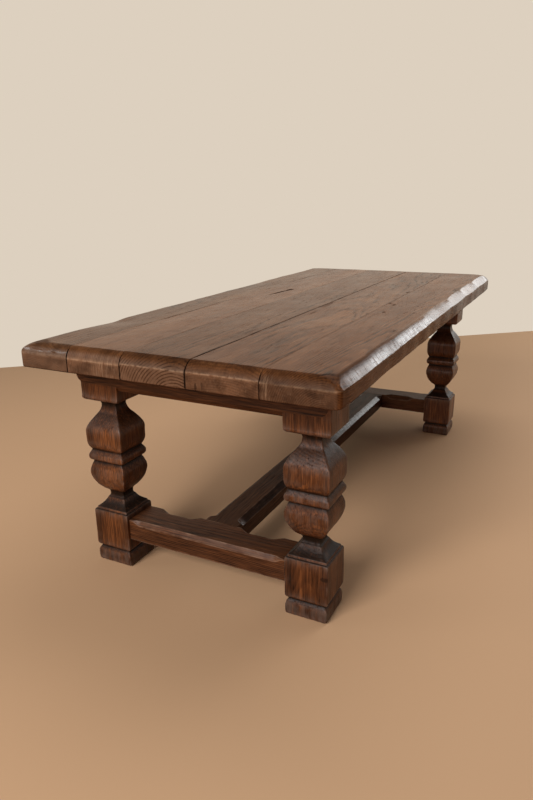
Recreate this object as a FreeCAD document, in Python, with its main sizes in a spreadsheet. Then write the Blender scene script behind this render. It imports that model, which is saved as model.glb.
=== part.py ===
import FreeCAD, Part
import math
import os
import Sketcher

# Refectory table with a plank top, four square baluster legs and an H-shaped stretcher frame.
# X runs along the table, Y across it and Z up, with the origin on the floor below its middle.
# Left is -X, right is +X, front is -Y and back is +Y.

# Driving dimensions in millimetres, with the three chamfer tilts in degrees
SIZES = {
    # Top, with the planks counted from the back edge to the front edge
    "top_length": 2110,
    "top_thickness": 72,
    "plank_1_width": 171,
    "plank_2_width": 182,
    "plank_3_width": 205,
    "plank_4_width": 206,
    "plank_5_width": 204,
    "top_round": 28,
    "corner_break": 6,
    "tongue_width": 30,
    "tongue_thickness": 12,
    "tongue_stop": 80,
    # Mean distances of the leg axes from the ends and the long edges of the top
    "end_overhang": 239,
    "side_overhang": 144,
    # The frame stands this far left of the middle of the top
    "frame_shift": 26,
    # Foot and plinth
    "foot_width": 126,
    "foot_height": 50,
    "foot_round": 9,
    "foot_ovolo": 20,
    "foot_groove_width": 109,
    "foot_groove_height": 4,
    "plinth_width": 128,
    "plinth_height": 130,
    "plinth_round": 16,
    "step_inset": 6,
    "step_height": 7,
    # Baluster
    "shoulder_height": 35,
    "neck_ease": 3.8,
    "neck_drop": 8,
    "lower_neck_width": 50,
    "lower_bulb_width": 129,
    "lower_bulb_rise": 91,
    "lower_bulb_fall": 34.5,
    "ring_groove_width": 114,
    "ring_width": 130,
    "ring_height": 38.5,
    "upper_bulb_width": 132,
    "upper_bulb_rise": 40,
    "upper_bulb_fall": 104,
    "upper_neck_width": 54,
    "flare_width": 20,
    "flare_height": 22,
    # Cap block
    "cap_width": 136,
    "cap_height": 132,
    "cap_round": 13,
    # Cross bearers, let into the outer faces of the cap blocks
    "bearer_reach": 71,
    "bearer_shift": 11,
    "bearer_thickness": 50,
    "bearer_height": 76,
    "bearer_strip": 15,
    "bearer_chamfer": 10,
    "bearer_end_round": 30,
    "housing_play": 0.3,
    # End stretchers
    "end_stretcher_width": 110,
    "end_stretcher_height": 71,
    "end_stretcher_rise": 98,
    "end_tenon_length": 62,
    "end_tenon_thickness": 40,
    "end_tenon_height": 47,
    "outer_chamfer": 7,
    "outer_chamfer_tilt": 60,
    "outer_chamfer_margin": 30,
    "inner_chamfer": 10,
    "inner_chamfer_tilt": 42,
    "inner_chamfer_margin": 50,
    "inner_chamfer_start": 8,
    "inner_chamfer_stop": 40,
    "chamfer_stop": 24,
    # Centre stretcher, flush with the tops of the end stretchers
    "centre_stretcher_width": 114,
    "centre_stretcher_height": 65,
    "centre_tenon_length": 45,
    "centre_tenon_width": 80,
    "centre_tenon_thickness": 26,
    "centre_chamfer": 9,
    "centre_chamfer_tilt": 32,
    "centre_chamfer_margin": 24,
    "mortise_spare": 2,
    # Pegs, dowels and screws
    "peg_play": 0.2,
    "end_peg_diameter": 8,
    "end_peg_inset": 12,
    "end_peg_beyond": 12,
    "centre_peg_diameter": 10,
    "centre_peg_inset": 20,
    "centre_peg_spread": 44,
    "centre_peg_beyond": 10,
    "bearer_peg_diameter": 12,
    "bearer_peg_depth": 28,
    "bearer_peg_spread": 60,
    "bearer_peg_drop": 24,
    "dowel_diameter": 20,
    "dowel_depth": 32,
    "dowel_land": 8,
    "dowel_offset": 30,
    "screw_diameter": 6,
    "screw_head_diameter": 13,
    "screw_head_height": 4,
    "screw_slot": 1.6,
    "screw_bite": 36,
    "screw_seat": 36,
    "screw_play": 0.2,
    "screw_access": 1.5,
}

PLANK_COUNT = 5
# Bulge of an arc is the tangent of a quarter of its angle, and is positive where the outline swells
QUARTER_ROUND = math.tan(math.radians(90 / 4))
OVOLO = 0.36
NECK_HOLLOW = 0.22
# Share of each swell, measured from the neck, where the hollow turns into the bulb
LOWER_TURN = 0.27
UPPER_TURN = 0.285
# Cutters reach this far past the faces that they open
OVERCUT = 5

LEFT, RIGHT = -1, 1
FRONT, BACK = -1, 1
SIDE_NAMES = {LEFT: "left", RIGHT: "right"}
ROW_NAMES = {FRONT: "front", BACK: "back"}

# Sketch planes: the plan, the long elevation and the end elevation
PLAN_PLANE = FreeCAD.Rotation()
LONG_PLANE = FreeCAD.Rotation(FreeCAD.Vector(1, 0, 0), 90)
END_PLANE = FreeCAD.Rotation(FreeCAD.Vector(1, 1, 1), 120)
# Cylinders stand along Z until they are turned to run along X or Y
ALONG_Z = FreeCAD.Rotation()
ALONG_X = FreeCAD.Rotation(FreeCAD.Vector(0, 1, 0), 90)
ALONG_Y = FreeCAD.Rotation(FreeCAD.Vector(1, 0, 0), -90)

doc = FreeCAD.newDocument("refectory_table")
sheet = doc.addObject("Spreadsheet::Sheet", "Sizes")
for row, (alias, amount) in enumerate(SIZES.items(), start=1):
    sheet.set(f"A{row}", alias)
    sheet.set(f"B{row}", str(amount))
    sheet.setAlias(f"B{row}", alias)
doc.recompute()


class Formula:
    """A number together with the spreadsheet formula that gives it."""

    def __init__(self, number, text):
        self.number = number
        self.text = text

    def __add__(self, other):
        other = as_formula(other)
        return Formula(self.number + other.number, f"({self.text} + {other.text})")

    def __sub__(self, other):
        other = as_formula(other)
        return Formula(self.number - other.number, f"({self.text} - {other.text})")

    def __mul__(self, other):
        other = as_formula(other)
        return Formula(self.number * other.number, f"({self.text} * {other.text})")

    def __truediv__(self, other):
        other = as_formula(other)
        return Formula(self.number / other.number, f"({self.text} / {other.text})")

    def __neg__(self):
        return Formula(-self.number, f"(0 - {self.text})")


def as_formula(value):
    """Gives a plain number a formula of its own."""
    if isinstance(value, Formula):
        return value
    return Formula(float(value), f"({float(value)!r})")


def size(alias):
    """One driving dimension."""
    return Formula(float(sheet.get(alias)), f"Sizes.{alias}")


def root(value):
    """Square root of a formula."""
    return Formula(math.sqrt(value.number), f"sqrt({value.text})")


def bind(item, field, value):
    """Ties one property of an object to a formula."""
    item.setExpression(field, as_formula(value).text)


def place(item, x=0, y=0, z=0):
    """Ties an object's position to formulas."""
    for field, value in (("x", x), ("y", y), ("z", z)):
        bind(item, f"Placement.Base.{field}", value)


def box(name, corner, extent):
    """Block from its lowest corner and its three sizes."""
    item = doc.addObject("Part::Box", name)
    for field, value in zip(("Length", "Width", "Height"), extent):
        bind(item, field, value)
    place(item, *corner)
    return item


def rod(name, start, direction, diameter, length):
    """Round bar from the middle of its first end."""
    item = doc.addObject("Part::Cylinder", name)
    item.Placement = FreeCAD.Placement(FreeCAD.Vector(), direction)
    bind(item, "Radius", diameter / 2)
    bind(item, "Height", length)
    place(item, *start)
    return item


def rod_inwards(name, side, face, y, z, diameter, length):
    """Round bar along X that enters a face at distance `face` on the given side and runs inwards."""
    start = face * -1 if side == LEFT else face - length
    return rod(name, (start, y, z), ALONG_X, diameter, length)


def draw(sketch, points):
    """Closed outline of lines and arcs, run counter-clockwise, with every point and radius tied."""
    ends = []
    rules = []
    tied = []
    for index, (x, y, bulge) in enumerate(points):
        next_x, next_y, _ = points[(index + 1) % len(points)]
        bulge = as_formula(bulge)
        start = FreeCAD.Vector(x.number, y.number, 0)
        end = FreeCAD.Vector(next_x.number, next_y.number, 0)
        if bulge.number == 0:
            edge = sketch.addGeometry(Part.LineSegment(start, end), False)
            ends.append((edge, 1, 2))
            continue
        chord = end - start
        crown = (start + end) / 2 + FreeCAD.Vector(chord.y, -chord.x, 0) * (bulge.number / 2)
        first, last = (start, end) if bulge.number > 0 else (end, start)
        edge = sketch.addGeometry(Part.Arc(first, crown, last), False)
        ends.append((edge, 1, 2) if bulge.number > 0 else (edge, 2, 1))
        run = next_x - x
        rise = next_y - y
        steepness = bulge if bulge.number > 0 else -bulge
        radius = root(run * run + rise * rise) * (steepness * steepness + 1) / (steepness * 4)
        tied.append((len(rules), radius))
        rules.append(Sketcher.Constraint("Radius", edge, radius.number))
    for index, (x, y, _) in enumerate(points):
        edge, first, _ = ends[index]
        before, _, last = ends[index - 1]
        rules.append(Sketcher.Constraint("Coincident", before, last, edge, first))
        for kind, axis, value in (("DistanceX", -2, x), ("DistanceY", -1, y)):
            if value.number == 0:
                rules.append(Sketcher.Constraint("PointOnObject", edge, first, axis))
                continue
            tied.append((len(rules), value))
            rules.append(Sketcher.Constraint(kind, -1, 1, edge, first, value.number))
    sketch.addConstraint(rules)
    for number, value in tied:
        bind(sketch, f"Constraints[{number}]", value)


def prism(name, points, plane, length):
    """Outline drawn on a plane and thickened evenly to both sides of it."""
    sketch = doc.addObject("Sketcher::SketchObject", f"{name}_outline")
    sketch.Placement = FreeCAD.Placement(FreeCAD.Vector(), plane)
    draw(sketch, [(as_formula(x), as_formula(y), bulge) for x, y, bulge in points])
    item = doc.addObject("Part::Extrusion", name)
    item.Base = sketch
    item.DirMode = "Normal"
    item.Solid = True
    item.Symmetric = True
    bind(item, "LengthFwd", length)
    return item


def joined(name, pieces):
    """Several solids grown into one."""
    item = doc.addObject("Part::MultiFuse", name)
    item.Shapes = pieces
    return item


def cut(name, base, cutters):
    """Solid with its cutters taken out."""
    item = doc.addObject("Part::Cut", name)
    item.Base = base
    item.Tool = cutters[0] if len(cutters) == 1 else joined(f"{name}_cutters", cutters)
    return item


def group(name, pieces):
    """Several separate solids under one name."""
    item = doc.addObject("Part::Compound", name)
    item.Links = pieces
    return item


def upright_bulge(width, height):
    """Bulge of an arc that is upright at one end and crosses the given width in the given height."""
    return (root(width * width + height * height) - height) / width


# Heights of the leg's members, from the floor up
foot_top = size("foot_height")
plinth_base = foot_top + size("foot_groove_height")
plinth_top = plinth_base + size("plinth_height")
step_top = plinth_top + size("step_height")
lower_neck = step_top + size("shoulder_height")
lower_bulb = lower_neck + size("lower_bulb_rise")
ring_base = lower_bulb + size("lower_bulb_fall")
ring_top = ring_base + size("ring_height")
upper_bulb = ring_top + size("upper_bulb_rise")
upper_neck = upper_bulb + size("upper_bulb_fall")
cap_base = upper_neck + size("flare_height")
leg_top = cap_base + size("cap_height")

plank_widths = [size(f"plank_{number}_width") for number in range(1, PLANK_COUNT + 1)]
top_width = plank_widths[0]
for plank_width in plank_widths[1:]:
    top_width = top_width + plank_width
# Edges of the planks across the table, from the back edge to the front edge
plank_edges = [top_width / 2]
for plank_width in plank_widths:
    plank_edges.append(plank_edges[-1] - plank_width)
plank_middles = [(back + front) / 2 for back, front in zip(plank_edges, plank_edges[1:])]
# The inner planks are screwed down at their middles
screw_rows = plank_middles[1:-1]

# Places shared by several pieces
leg_x = size("top_length") / 2 - size("end_overhang")
leg_y = top_width / 2 - size("side_overhang")
cap_half = size("cap_width") / 2
plinth_half = size("plinth_width") / 2
end_half = size("end_stretcher_width") / 2
centre_half = size("centre_stretcher_width") / 2
stretcher_top = size("end_stretcher_rise") + size("end_stretcher_height")
stretcher_middle = size("end_stretcher_rise") + size("end_stretcher_height") / 2
centre_base = stretcher_top - size("centre_stretcher_height")
bearer_base = leg_top - size("bearer_height")
strip_base = bearer_base - size("bearer_strip")
bearer_face = leg_x + cap_half
bearer_middle = bearer_face - size("bearer_thickness") / 2
bearer_half_length = leg_y + size("bearer_reach")
bearer_peg_height = leg_top - size("bearer_peg_drop")
peg_end = size("bearer_thickness") + size("bearer_peg_depth") - cap_half
dowel_inset = peg_end + size("dowel_land") + size("dowel_diameter") / 2
dowel_x = leg_x - dowel_inset
dowel_y = leg_y + size("dowel_offset")
screw_seat = strip_base + size("screw_seat")
screw_length = leg_top + size("screw_bite") - screw_seat
centre_tenon_base = centre_base + (size("centre_stretcher_height") - size("centre_tenon_thickness")) / 2
centre_tenon_top = centre_tenon_base + size("centre_tenon_thickness")
centre_peg_length = centre_tenon_top + size("centre_peg_beyond") - size("end_stretcher_rise")


def on_frame(distance, side):
    """Place along X of something at a distance from the middle of the frame, on the given side."""
    return distance * side - size("frame_shift")


def leg_profile():
    """Half outline of the leg from the foot up, as half-width, height and bulge towards the next point."""
    foot = size("foot_width") / 2
    foot_groove = size("foot_groove_width") / 2
    thin = size("lower_neck_width") / 2
    swell = size("lower_bulb_width") / 2
    ring_groove = size("ring_groove_width") / 2
    upper_swell = size("upper_bulb_width") / 2
    upper_thin = size("upper_neck_width") / 2
    lower_bend = upright_bulge(swell - thin, size("lower_bulb_rise"))
    upper_bend = upright_bulge(upper_swell - upper_thin, size("upper_bulb_fall"))
    return [
        (foot - size("foot_round"), as_formula(0), QUARTER_ROUND),
        (foot, size("foot_round"), 0),
        (foot, foot_top - size("foot_ovolo"), OVOLO),
        (foot_groove, foot_top, 0),
        (foot_groove, plinth_base, OVOLO),
        (plinth_half, plinth_base + size("plinth_round"), 0),
        (plinth_half, plinth_top, 0),
        (plinth_half - size("step_inset"), plinth_top, 0),
        (plinth_half - size("step_inset"), step_top, 0),
        (thin + size("neck_ease"), lower_neck - size("neck_drop"), -NECK_HOLLOW),
        (thin, lower_neck, -lower_bend),
        (thin + (swell - thin) * LOWER_TURN, lower_neck + size("lower_bulb_rise") * LOWER_TURN, lower_bend),
        (swell, lower_bulb, upright_bulge(swell - ring_groove, size("lower_bulb_fall"))),
        (ring_groove, ring_base, (size("ring_width") - ring_groove * 2) / size("ring_height")),
        (ring_groove, ring_top, upright_bulge(upper_swell - ring_groove, size("upper_bulb_rise"))),
        (upper_swell, upper_bulb, upper_bend),
        (
            upper_thin + (upper_swell - upper_thin) * UPPER_TURN,
            upper_neck - size("upper_bulb_fall") * UPPER_TURN,
            -upper_bend,
        ),
        (upper_thin, upper_neck, -upright_bulge(size("flare_width"), size("flare_height"))),
        (upper_thin + size("flare_width"), cap_base, 0),
        (cap_half - size("cap_round"), cap_base, QUARTER_ROUND),
        (cap_half, cap_base + size("cap_round"), 0),
        (cap_half, leg_top, 0),
    ]


def leg_blank():
    """Post sawn to the same outline from two neighbouring sides."""
    right_side = leg_profile()
    left_side = []
    for index in range(len(right_side) - 1, -1, -1):
        width, height, _ = right_side[index]
        left_side.append((-width, height, right_side[index - 1][2] if index else 0))
    points = right_side + left_side
    thickness = size("cap_width") + size("plinth_width")
    item = doc.addObject("Part::MultiCommon", "leg_blank")
    item.Shapes = [
        prism("leg_long_view", points, LONG_PLANE, thickness),
        prism("leg_end_view", points, END_PLANE, thickness),
    ]
    return item


def bearer_housing(name, side, row):
    """Recess in a cap block, in the leg's own frame, that takes one rounded end of a cross bearer."""
    end = size("bearer_reach") + size("bearer_shift") * row + size("housing_play")
    inner = cap_half + OVERCUT
    top = leg_top + OVERCUT
    curve = size("bearer_end_round")
    if row == BACK:
        points = [
            (-inner, bearer_base, 0),
            (end - curve, bearer_base, QUARTER_ROUND),
            (end, bearer_base + curve, 0),
            (end, top, 0),
            (-inner, top, 0),
        ]
    else:
        points = [
            (-end, top, 0),
            (-end, bearer_base + curve, QUARTER_ROUND),
            (curve - end, bearer_base, 0),
            (inner, bearer_base, 0),
            (inner, top, 0),
        ]
    item = prism(name, points, END_PLANE, size("bearer_thickness"))
    place(item.Base, x=(cap_half - size("bearer_thickness") / 2) * side)
    return item


def leg(blank, side, row):
    """One leg with its stretcher mortise, bearer recess and the holes of its pegs and dowel."""
    name = f"leg_{ROW_NAMES[row]}_{SIDE_NAMES[side]}"
    depth = size("end_tenon_length") + size("mortise_spare")
    mortise_y = -plinth_half if row == BACK else plinth_half - depth
    mortise_base = stretcher_middle - size("end_tenon_height") / 2
    peg_y = (plinth_half - size("end_peg_inset")) * -row
    peg_length = plinth_half + size("end_tenon_thickness") / 2 + size("end_peg_beyond")
    peg_hole = size("end_peg_diameter") + size("peg_play") * 2
    cutters = [
        box(
            f"{name}_mortise",
            (-size("end_tenon_thickness") / 2, mortise_y, mortise_base),
            (size("end_tenon_thickness"), depth, size("end_tenon_height")),
        ),
        rod_inwards(f"{name}_peg_hole", side, plinth_half, peg_y, stretcher_middle, peg_hole, peg_length),
        bearer_housing(f"{name}_housing", side, row),
        rod(
            f"{name}_dowel_hole",
            (dowel_inset * -side, size("dowel_offset") * row, leg_top - size("dowel_depth")),
            ALONG_Z,
            size("dowel_diameter") + size("peg_play") * 2,
            size("dowel_depth") + OVERCUT,
        ),
    ]
    for number, spread in enumerate((-1, 1), start=1):
        cutters.append(
            rod_inwards(
                f"{name}_bearer_peg_hole_{number}",
                side,
                cap_half,
                size("bearer_peg_spread") / 2 * spread,
                bearer_peg_height,
                size("bearer_peg_diameter") + size("peg_play") * 2,
                size("bearer_thickness") + size("bearer_peg_depth"),
            )
        )
    item = cut(name, blank, cutters)
    place(item, on_frame(leg_x, side), leg_y * row)
    return item


def bearer(side):
    """Cross bearer with rounded ends, a deeper strip between the legs and the holes of its fixings."""
    name = f"bearer_{SIDE_NAMES[side]}"
    front_end = size("bearer_shift") - bearer_half_length
    back_end = size("bearer_shift") + bearer_half_length
    curve = size("bearer_end_round")
    inner = leg_y - cap_half
    half_thick = size("bearer_thickness") / 2
    blank = prism(
        f"{name}_blank",
        [
            (front_end + curve, bearer_base, 0),
            (-inner, bearer_base, 0),
            (-inner, strip_base, 0),
            (inner, strip_base, 0),
            (inner, bearer_base, 0),
            (back_end - curve, bearer_base, QUARTER_ROUND),
            (back_end, bearer_base + curve, 0),
            (back_end, leg_top, 0),
            (front_end, leg_top, 0),
            (front_end, bearer_base + curve, QUARTER_ROUND),
        ],
        END_PLANE,
        size("bearer_thickness"),
    )
    outer = half_thick * side
    set_back = outer - size("bearer_chamfer") * side
    corners = [(outer, strip_base, 0), (outer, bearer_base, 0), (set_back, strip_base, 0)]
    if side == LEFT:
        corners.reverse()
    cutters = [prism(f"{name}_lower_chamfer", corners, LONG_PLANE, inner * 2)]
    peg_hole = size("bearer_peg_diameter") + size("peg_play") * 2
    for number, (row, spread) in enumerate(((-1, -1), (-1, 1), (1, -1), (1, 1)), start=1):
        peg_y = leg_y * row + size("bearer_peg_spread") / 2 * spread
        start = (-half_thick, peg_y, bearer_peg_height)
        cutters.append(rod(f"{name}_peg_hole_{number}", start, ALONG_X, peg_hole, size("bearer_thickness")))
    access = size("screw_head_diameter") + size("screw_access") * 2
    shank_hole = size("screw_diameter") + size("screw_play") * 2
    for number, y in enumerate(screw_rows, start=1):
        start = (0, y, strip_base - OVERCUT)
        access_depth = size("screw_seat") + OVERCUT
        cutters.append(rod(f"{name}_access_{number}", start, ALONG_Z, access, access_depth))
        hole_depth = leg_top - strip_base + OVERCUT
        cutters.append(rod(f"{name}_screw_hole_{number}", start, ALONG_Z, shank_hole, hole_depth))
    item = cut(name, blank, cutters)
    place(item, on_frame(bearer_middle, side))
    return item


def stop_chamfer(name, length, stop, depth, tilt, edge, start):
    """Cutter for a chamfer along X that dies out in an ogee at each end.

    The arris lies at distance `edge` from the middle, towards +Y or -Y as the sign of `tilt` says, and
    the chamfer begins at `start`.
    """
    bend = upright_bulge(depth, stop)
    far = length - stop
    points = [
        (start, as_formula(0), -bend),
        (start + stop / 2, -depth / 2, bend),
        (start + stop, -depth, 0),
        (start + far, -depth, bend),
        (start + length - stop / 2, -depth / 2, -bend),
        (start + length, as_formula(0), 0),
        (start + length, depth, 0),
        (start, depth, 0),
    ]
    item = prism(name, points, LONG_PLANE, depth * 8)
    bind(item.Base, "Placement.Rotation.Angle", as_formula(90) - tilt)
    place(item.Base, y=edge, z=stretcher_top)
    return item


def end_stretcher(side):
    """End stretcher, drawn along X with its outer face towards +Y, and then turned across the table."""
    name = f"end_stretcher_{SIDE_NAMES[side]}"
    reach = leg_y - plinth_half
    tenon_reach = reach + size("end_tenon_length")
    rise = size("end_stretcher_rise")
    tenon_base = stretcher_middle - size("end_tenon_height") / 2
    beam = box(
        f"{name}_beam",
        (-reach, -end_half, rise),
        (reach * 2, size("end_stretcher_width"), size("end_stretcher_height")),
    )
    tenons = box(
        f"{name}_tenons",
        (-tenon_reach, -size("end_tenon_thickness") / 2, tenon_base),
        (tenon_reach * 2, size("end_tenon_thickness"), size("end_tenon_height")),
    )
    outer_length = (reach - size("outer_chamfer_margin")) * 2
    inner_start = centre_half + size("inner_chamfer_start")
    inner_length = reach - size("inner_chamfer_margin") - inner_start
    inner_tilt = -size("inner_chamfer_tilt")
    stop = size("inner_chamfer_stop")
    depth = size("inner_chamfer")
    cutters = [
        stop_chamfer(
            f"{name}_outer_chamfer",
            outer_length,
            size("chamfer_stop"),
            size("outer_chamfer"),
            size("outer_chamfer_tilt"),
            end_half,
            -outer_length / 2,
        ),
        box(
            f"{name}_mortise",
            (-size("centre_tenon_width") / 2, -end_half, centre_tenon_base),
            (
                size("centre_tenon_width"),
                size("centre_tenon_length") + size("mortise_spare"),
                size("centre_tenon_thickness"),
            ),
        ),
    ]
    for number, start in enumerate((inner_start, -inner_start - inner_length), start=1):
        label = f"{name}_inner_chamfer_{number}"
        cutters.append(stop_chamfer(label, inner_length, stop, depth, inner_tilt, -end_half, start))
    tenon_hole = size("end_peg_diameter") + size("peg_play") * 2
    centre_hole = size("centre_peg_diameter") + size("peg_play") * 2
    thickness = size("end_tenon_thickness")
    for number, end in enumerate((-1, 1), start=1):
        start = ((reach + size("end_peg_inset")) * end, -thickness / 2, stretcher_middle)
        cutters.append(rod(f"{name}_peg_hole_{number}", start, ALONG_Y, tenon_hole, thickness))
        start = (size("centre_peg_spread") / 2 * end, size("centre_peg_inset") - end_half, rise)
        label = f"{name}_centre_peg_hole_{number}"
        cutters.append(rod(label, start, ALONG_Z, centre_hole, centre_peg_length))
    item = cut(name, joined(f"{name}_blank", [beam, tenons]), cutters)
    across = FreeCAD.Rotation(FreeCAD.Vector(0, 0, 1), 90 * -side)
    item.Placement = FreeCAD.Placement(FreeCAD.Vector(), across)
    place(item, on_frame(leg_x, side))
    return item


def centre_stretcher():
    """Long stretcher with a tenon at each end and a stopped chamfer along both upper edges."""
    name = "centre_stretcher"
    reach = leg_x - end_half
    tenon_reach = reach + size("centre_tenon_length")
    beam = box(
        f"{name}_beam",
        (-reach, -centre_half, centre_base),
        (reach * 2, size("centre_stretcher_width"), size("centre_stretcher_height")),
    )
    tenons = box(
        f"{name}_tenons",
        (-tenon_reach, -size("centre_tenon_width") / 2, centre_tenon_base),
        (tenon_reach * 2, size("centre_tenon_width"), size("centre_tenon_thickness")),
    )
    chamfer_length = (reach - size("centre_chamfer_margin")) * 2
    hole = size("centre_peg_diameter") + size("peg_play") * 2
    cutters = []
    for row in (FRONT, BACK):
        cutters.append(
            stop_chamfer(
                f"{name}_{ROW_NAMES[row]}_chamfer",
                chamfer_length,
                size("chamfer_stop"),
                size("centre_chamfer"),
                size("centre_chamfer_tilt") * row,
                centre_half * row,
                -chamfer_length / 2,
            )
        )
    for number, (side, spread) in enumerate(((-1, -1), (-1, 1), (1, -1), (1, 1)), start=1):
        x = (reach + size("centre_peg_inset")) * side
        start = (x, size("centre_peg_spread") / 2 * spread, centre_tenon_base)
        depth = size("centre_tenon_thickness")
        cutters.append(rod(f"{name}_peg_hole_{number}", start, ALONG_Z, hole, depth))
    item = cut(name, joined(f"{name}_blank", [beam, tenons]), cutters)
    place(item, -size("frame_shift"))
    return item


def plank_body(number):
    """Plank in its own frame, with its upper outer edges rounded over."""
    body = doc.addObject("PartDesign::Body", f"plank_{number}_body")
    plan = next(plane for plane in body.Origin.OriginFeatures if plane.Role == "XY_Plane")
    half_length = size("top_length") / 2
    half_width = plank_widths[number - 1] / 2
    sketch = body.newObject("Sketcher::SketchObject", f"plank_{number}_plan")
    sketch.AttachmentSupport = [(plan, "")]
    sketch.MapMode = "FlatFace"
    corners = [
        (-half_length, -half_width, 0),
        (half_length, -half_width, 0),
        (half_length, half_width, 0),
        (-half_length, half_width, 0),
    ]
    draw(sketch, corners)
    pad = body.newObject("PartDesign::Pad", f"plank_{number}_board")
    pad.Profile = sketch
    bind(pad, "Length", size("top_thickness"))
    doc.recompute()
    fillet = body.newObject("PartDesign::Fillet", f"plank_{number}_roundover")
    fillet.Base = (pad, outer_edges(pad.Shape, number))
    bind(fillet, "Radius", size("top_round"))
    body.Tip = fillet
    return body


def outer_edges(shape, number):
    """Names of a board's upper edges, without the edges that meet a neighbouring plank."""
    names = []
    limits = shape.BoundBox
    for index, edge in enumerate(shape.Edges, start=1):
        span = edge.BoundBox
        upper = abs(span.ZMin - limits.ZMax) < 1e-6
        at_back = number > 1 and abs(span.YMin - limits.YMax) < 1e-6
        at_front = number < PLANK_COUNT and abs(span.YMax - limits.YMin) < 1e-6
        if upper and not at_back and not at_front:
            names.append(f"Edge{index}")
    return names


def corner_breaks(name, half_width, row):
    """Cutters that take off the upright arrises at both ends of an outer plank's free edge."""
    edge = half_width * row
    cutters = []
    for side in (LEFT, RIGHT):
        end = size("top_length") / 2 * side
        points = [
            (end, edge, 0),
            (end - size("corner_break") * side, edge, 0),
            (end, edge - size("corner_break") * row, 0),
        ]
        if side == row:
            points.reverse()
        label = f"{name}_{SIDE_NAMES[side]}_corner"
        cutters.append(prism(label, points, PLAN_PLANE, (size("top_thickness") + OVERCUT) * 2))
    return cutters


def plank(number):
    """Plank with its tongue grooves, broken corners and the holes of its dowels or screws."""
    name = f"top_plank_{number}"
    half_width = plank_widths[number - 1] / 2
    middle = plank_middles[number - 1]
    groove_length = size("top_length") - size("tongue_stop") * 2
    groove_base = (size("top_thickness") - size("tongue_thickness")) / 2
    cutters = []
    for row, last in ((BACK, 1), (FRONT, PLANK_COUNT)):
        if number == last:
            cutters += corner_breaks(name, half_width, row)
            continue
        cutters.append(
            box(
                f"{name}_{ROW_NAMES[row]}_groove",
                (
                    -groove_length / 2,
                    half_width * row - size("tongue_width") / 2,
                    groove_base,
                ),
                (groove_length, size("tongue_width"), size("tongue_thickness")),
            )
        )
    dowel_hole = size("dowel_diameter") + size("peg_play") * 2
    screw_hole = size("screw_diameter") + size("screw_play") * 2
    for side in (LEFT, RIGHT):
        label = f"{name}_{SIDE_NAMES[side]}"
        for row in (FRONT, BACK):
            start = (on_frame(dowel_x, side), dowel_y * row - middle, -OVERCUT)
            depth = size("dowel_depth") + OVERCUT
            cutters.append(rod(f"{label}_{ROW_NAMES[row]}_dowel_hole", start, ALONG_Z, dowel_hole, depth))
        if 1 < number < PLANK_COUNT:
            start = (on_frame(bearer_middle, side), 0, -OVERCUT)
            depth = size("screw_bite") + OVERCUT
            cutters.append(rod(f"{label}_screw_hole", start, ALONG_Z, screw_hole, depth))
    item = cut(name, plank_body(number), cutters)
    place(item, y=middle, z=leg_top)
    return item


def tongue(number):
    """Loose tongue that bridges the joint between one plank and the next."""
    length = size("top_length") - size("tongue_stop") * 2
    base = leg_top + (size("top_thickness") - size("tongue_thickness")) / 2
    return box(
        f"plank_tongue_{number}",
        (-length / 2, plank_edges[number] - size("tongue_width") / 2, base),
        (length, size("tongue_width"), size("tongue_thickness")),
    )


def end_pegs(side):
    """Pegs through the tenons of one end stretcher, flush with the outer faces of the plinths."""
    name = f"stretcher_pegs_{SIDE_NAMES[side]}"
    length = plinth_half + size("end_tenon_thickness") / 2 + size("end_peg_beyond")
    pegs = []
    for row in (FRONT, BACK):
        y = (leg_y - plinth_half + size("end_peg_inset")) * row
        peg = rod_inwards(
            f"{name}_{ROW_NAMES[row]}",
            side,
            plinth_half,
            y,
            stretcher_middle,
            size("end_peg_diameter"),
            length,
        )
        pegs.append(peg)
    item = group(name, pegs)
    place(item, on_frame(leg_x, side))
    return item


def centre_pegs():
    """Pegs driven from below through the tenons of the centre stretcher."""
    x = leg_x - end_half + size("centre_peg_inset")
    pegs = []
    for number, (side, spread) in enumerate(((-1, -1), (-1, 1), (1, -1), (1, 1)), start=1):
        y = size("centre_peg_spread") / 2 * spread
        start = (on_frame(x, side), y, size("end_stretcher_rise"))
        diameter = size("centre_peg_diameter")
        pegs.append(rod(f"centre_peg_{number}", start, ALONG_Z, diameter, centre_peg_length))
    return group("centre_stretcher_pegs", pegs)


def bearer_pegs(side):
    """Pegs that hold one cross bearer in its two cap blocks."""
    name = f"bearer_pegs_{SIDE_NAMES[side]}"
    length = size("bearer_thickness") + size("bearer_peg_depth")
    pegs = []
    for number, (row, spread) in enumerate(((-1, -1), (-1, 1), (1, -1), (1, 1)), start=1):
        y = leg_y * row + size("bearer_peg_spread") / 2 * spread
        diameter = size("bearer_peg_diameter")
        pegs.append(rod_inwards(f"{name}_{number}", side, cap_half, y, bearer_peg_height, diameter, length))
    item = group(name, pegs)
    place(item, on_frame(leg_x, side))
    return item


def leg_dowels(side):
    """Dowels that stand half in the leg tops and half in the outer planks."""
    name = f"leg_dowels_{SIDE_NAMES[side]}"
    dowels = []
    for row in (FRONT, BACK):
        start = (on_frame(dowel_x, side), dowel_y * row, leg_top - size("dowel_depth"))
        label = f"{name}_{ROW_NAMES[row]}"
        dowels.append(rod(label, start, ALONG_Z, size("dowel_diameter"), size("dowel_depth") * 2))
    return group(name, dowels)


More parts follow.
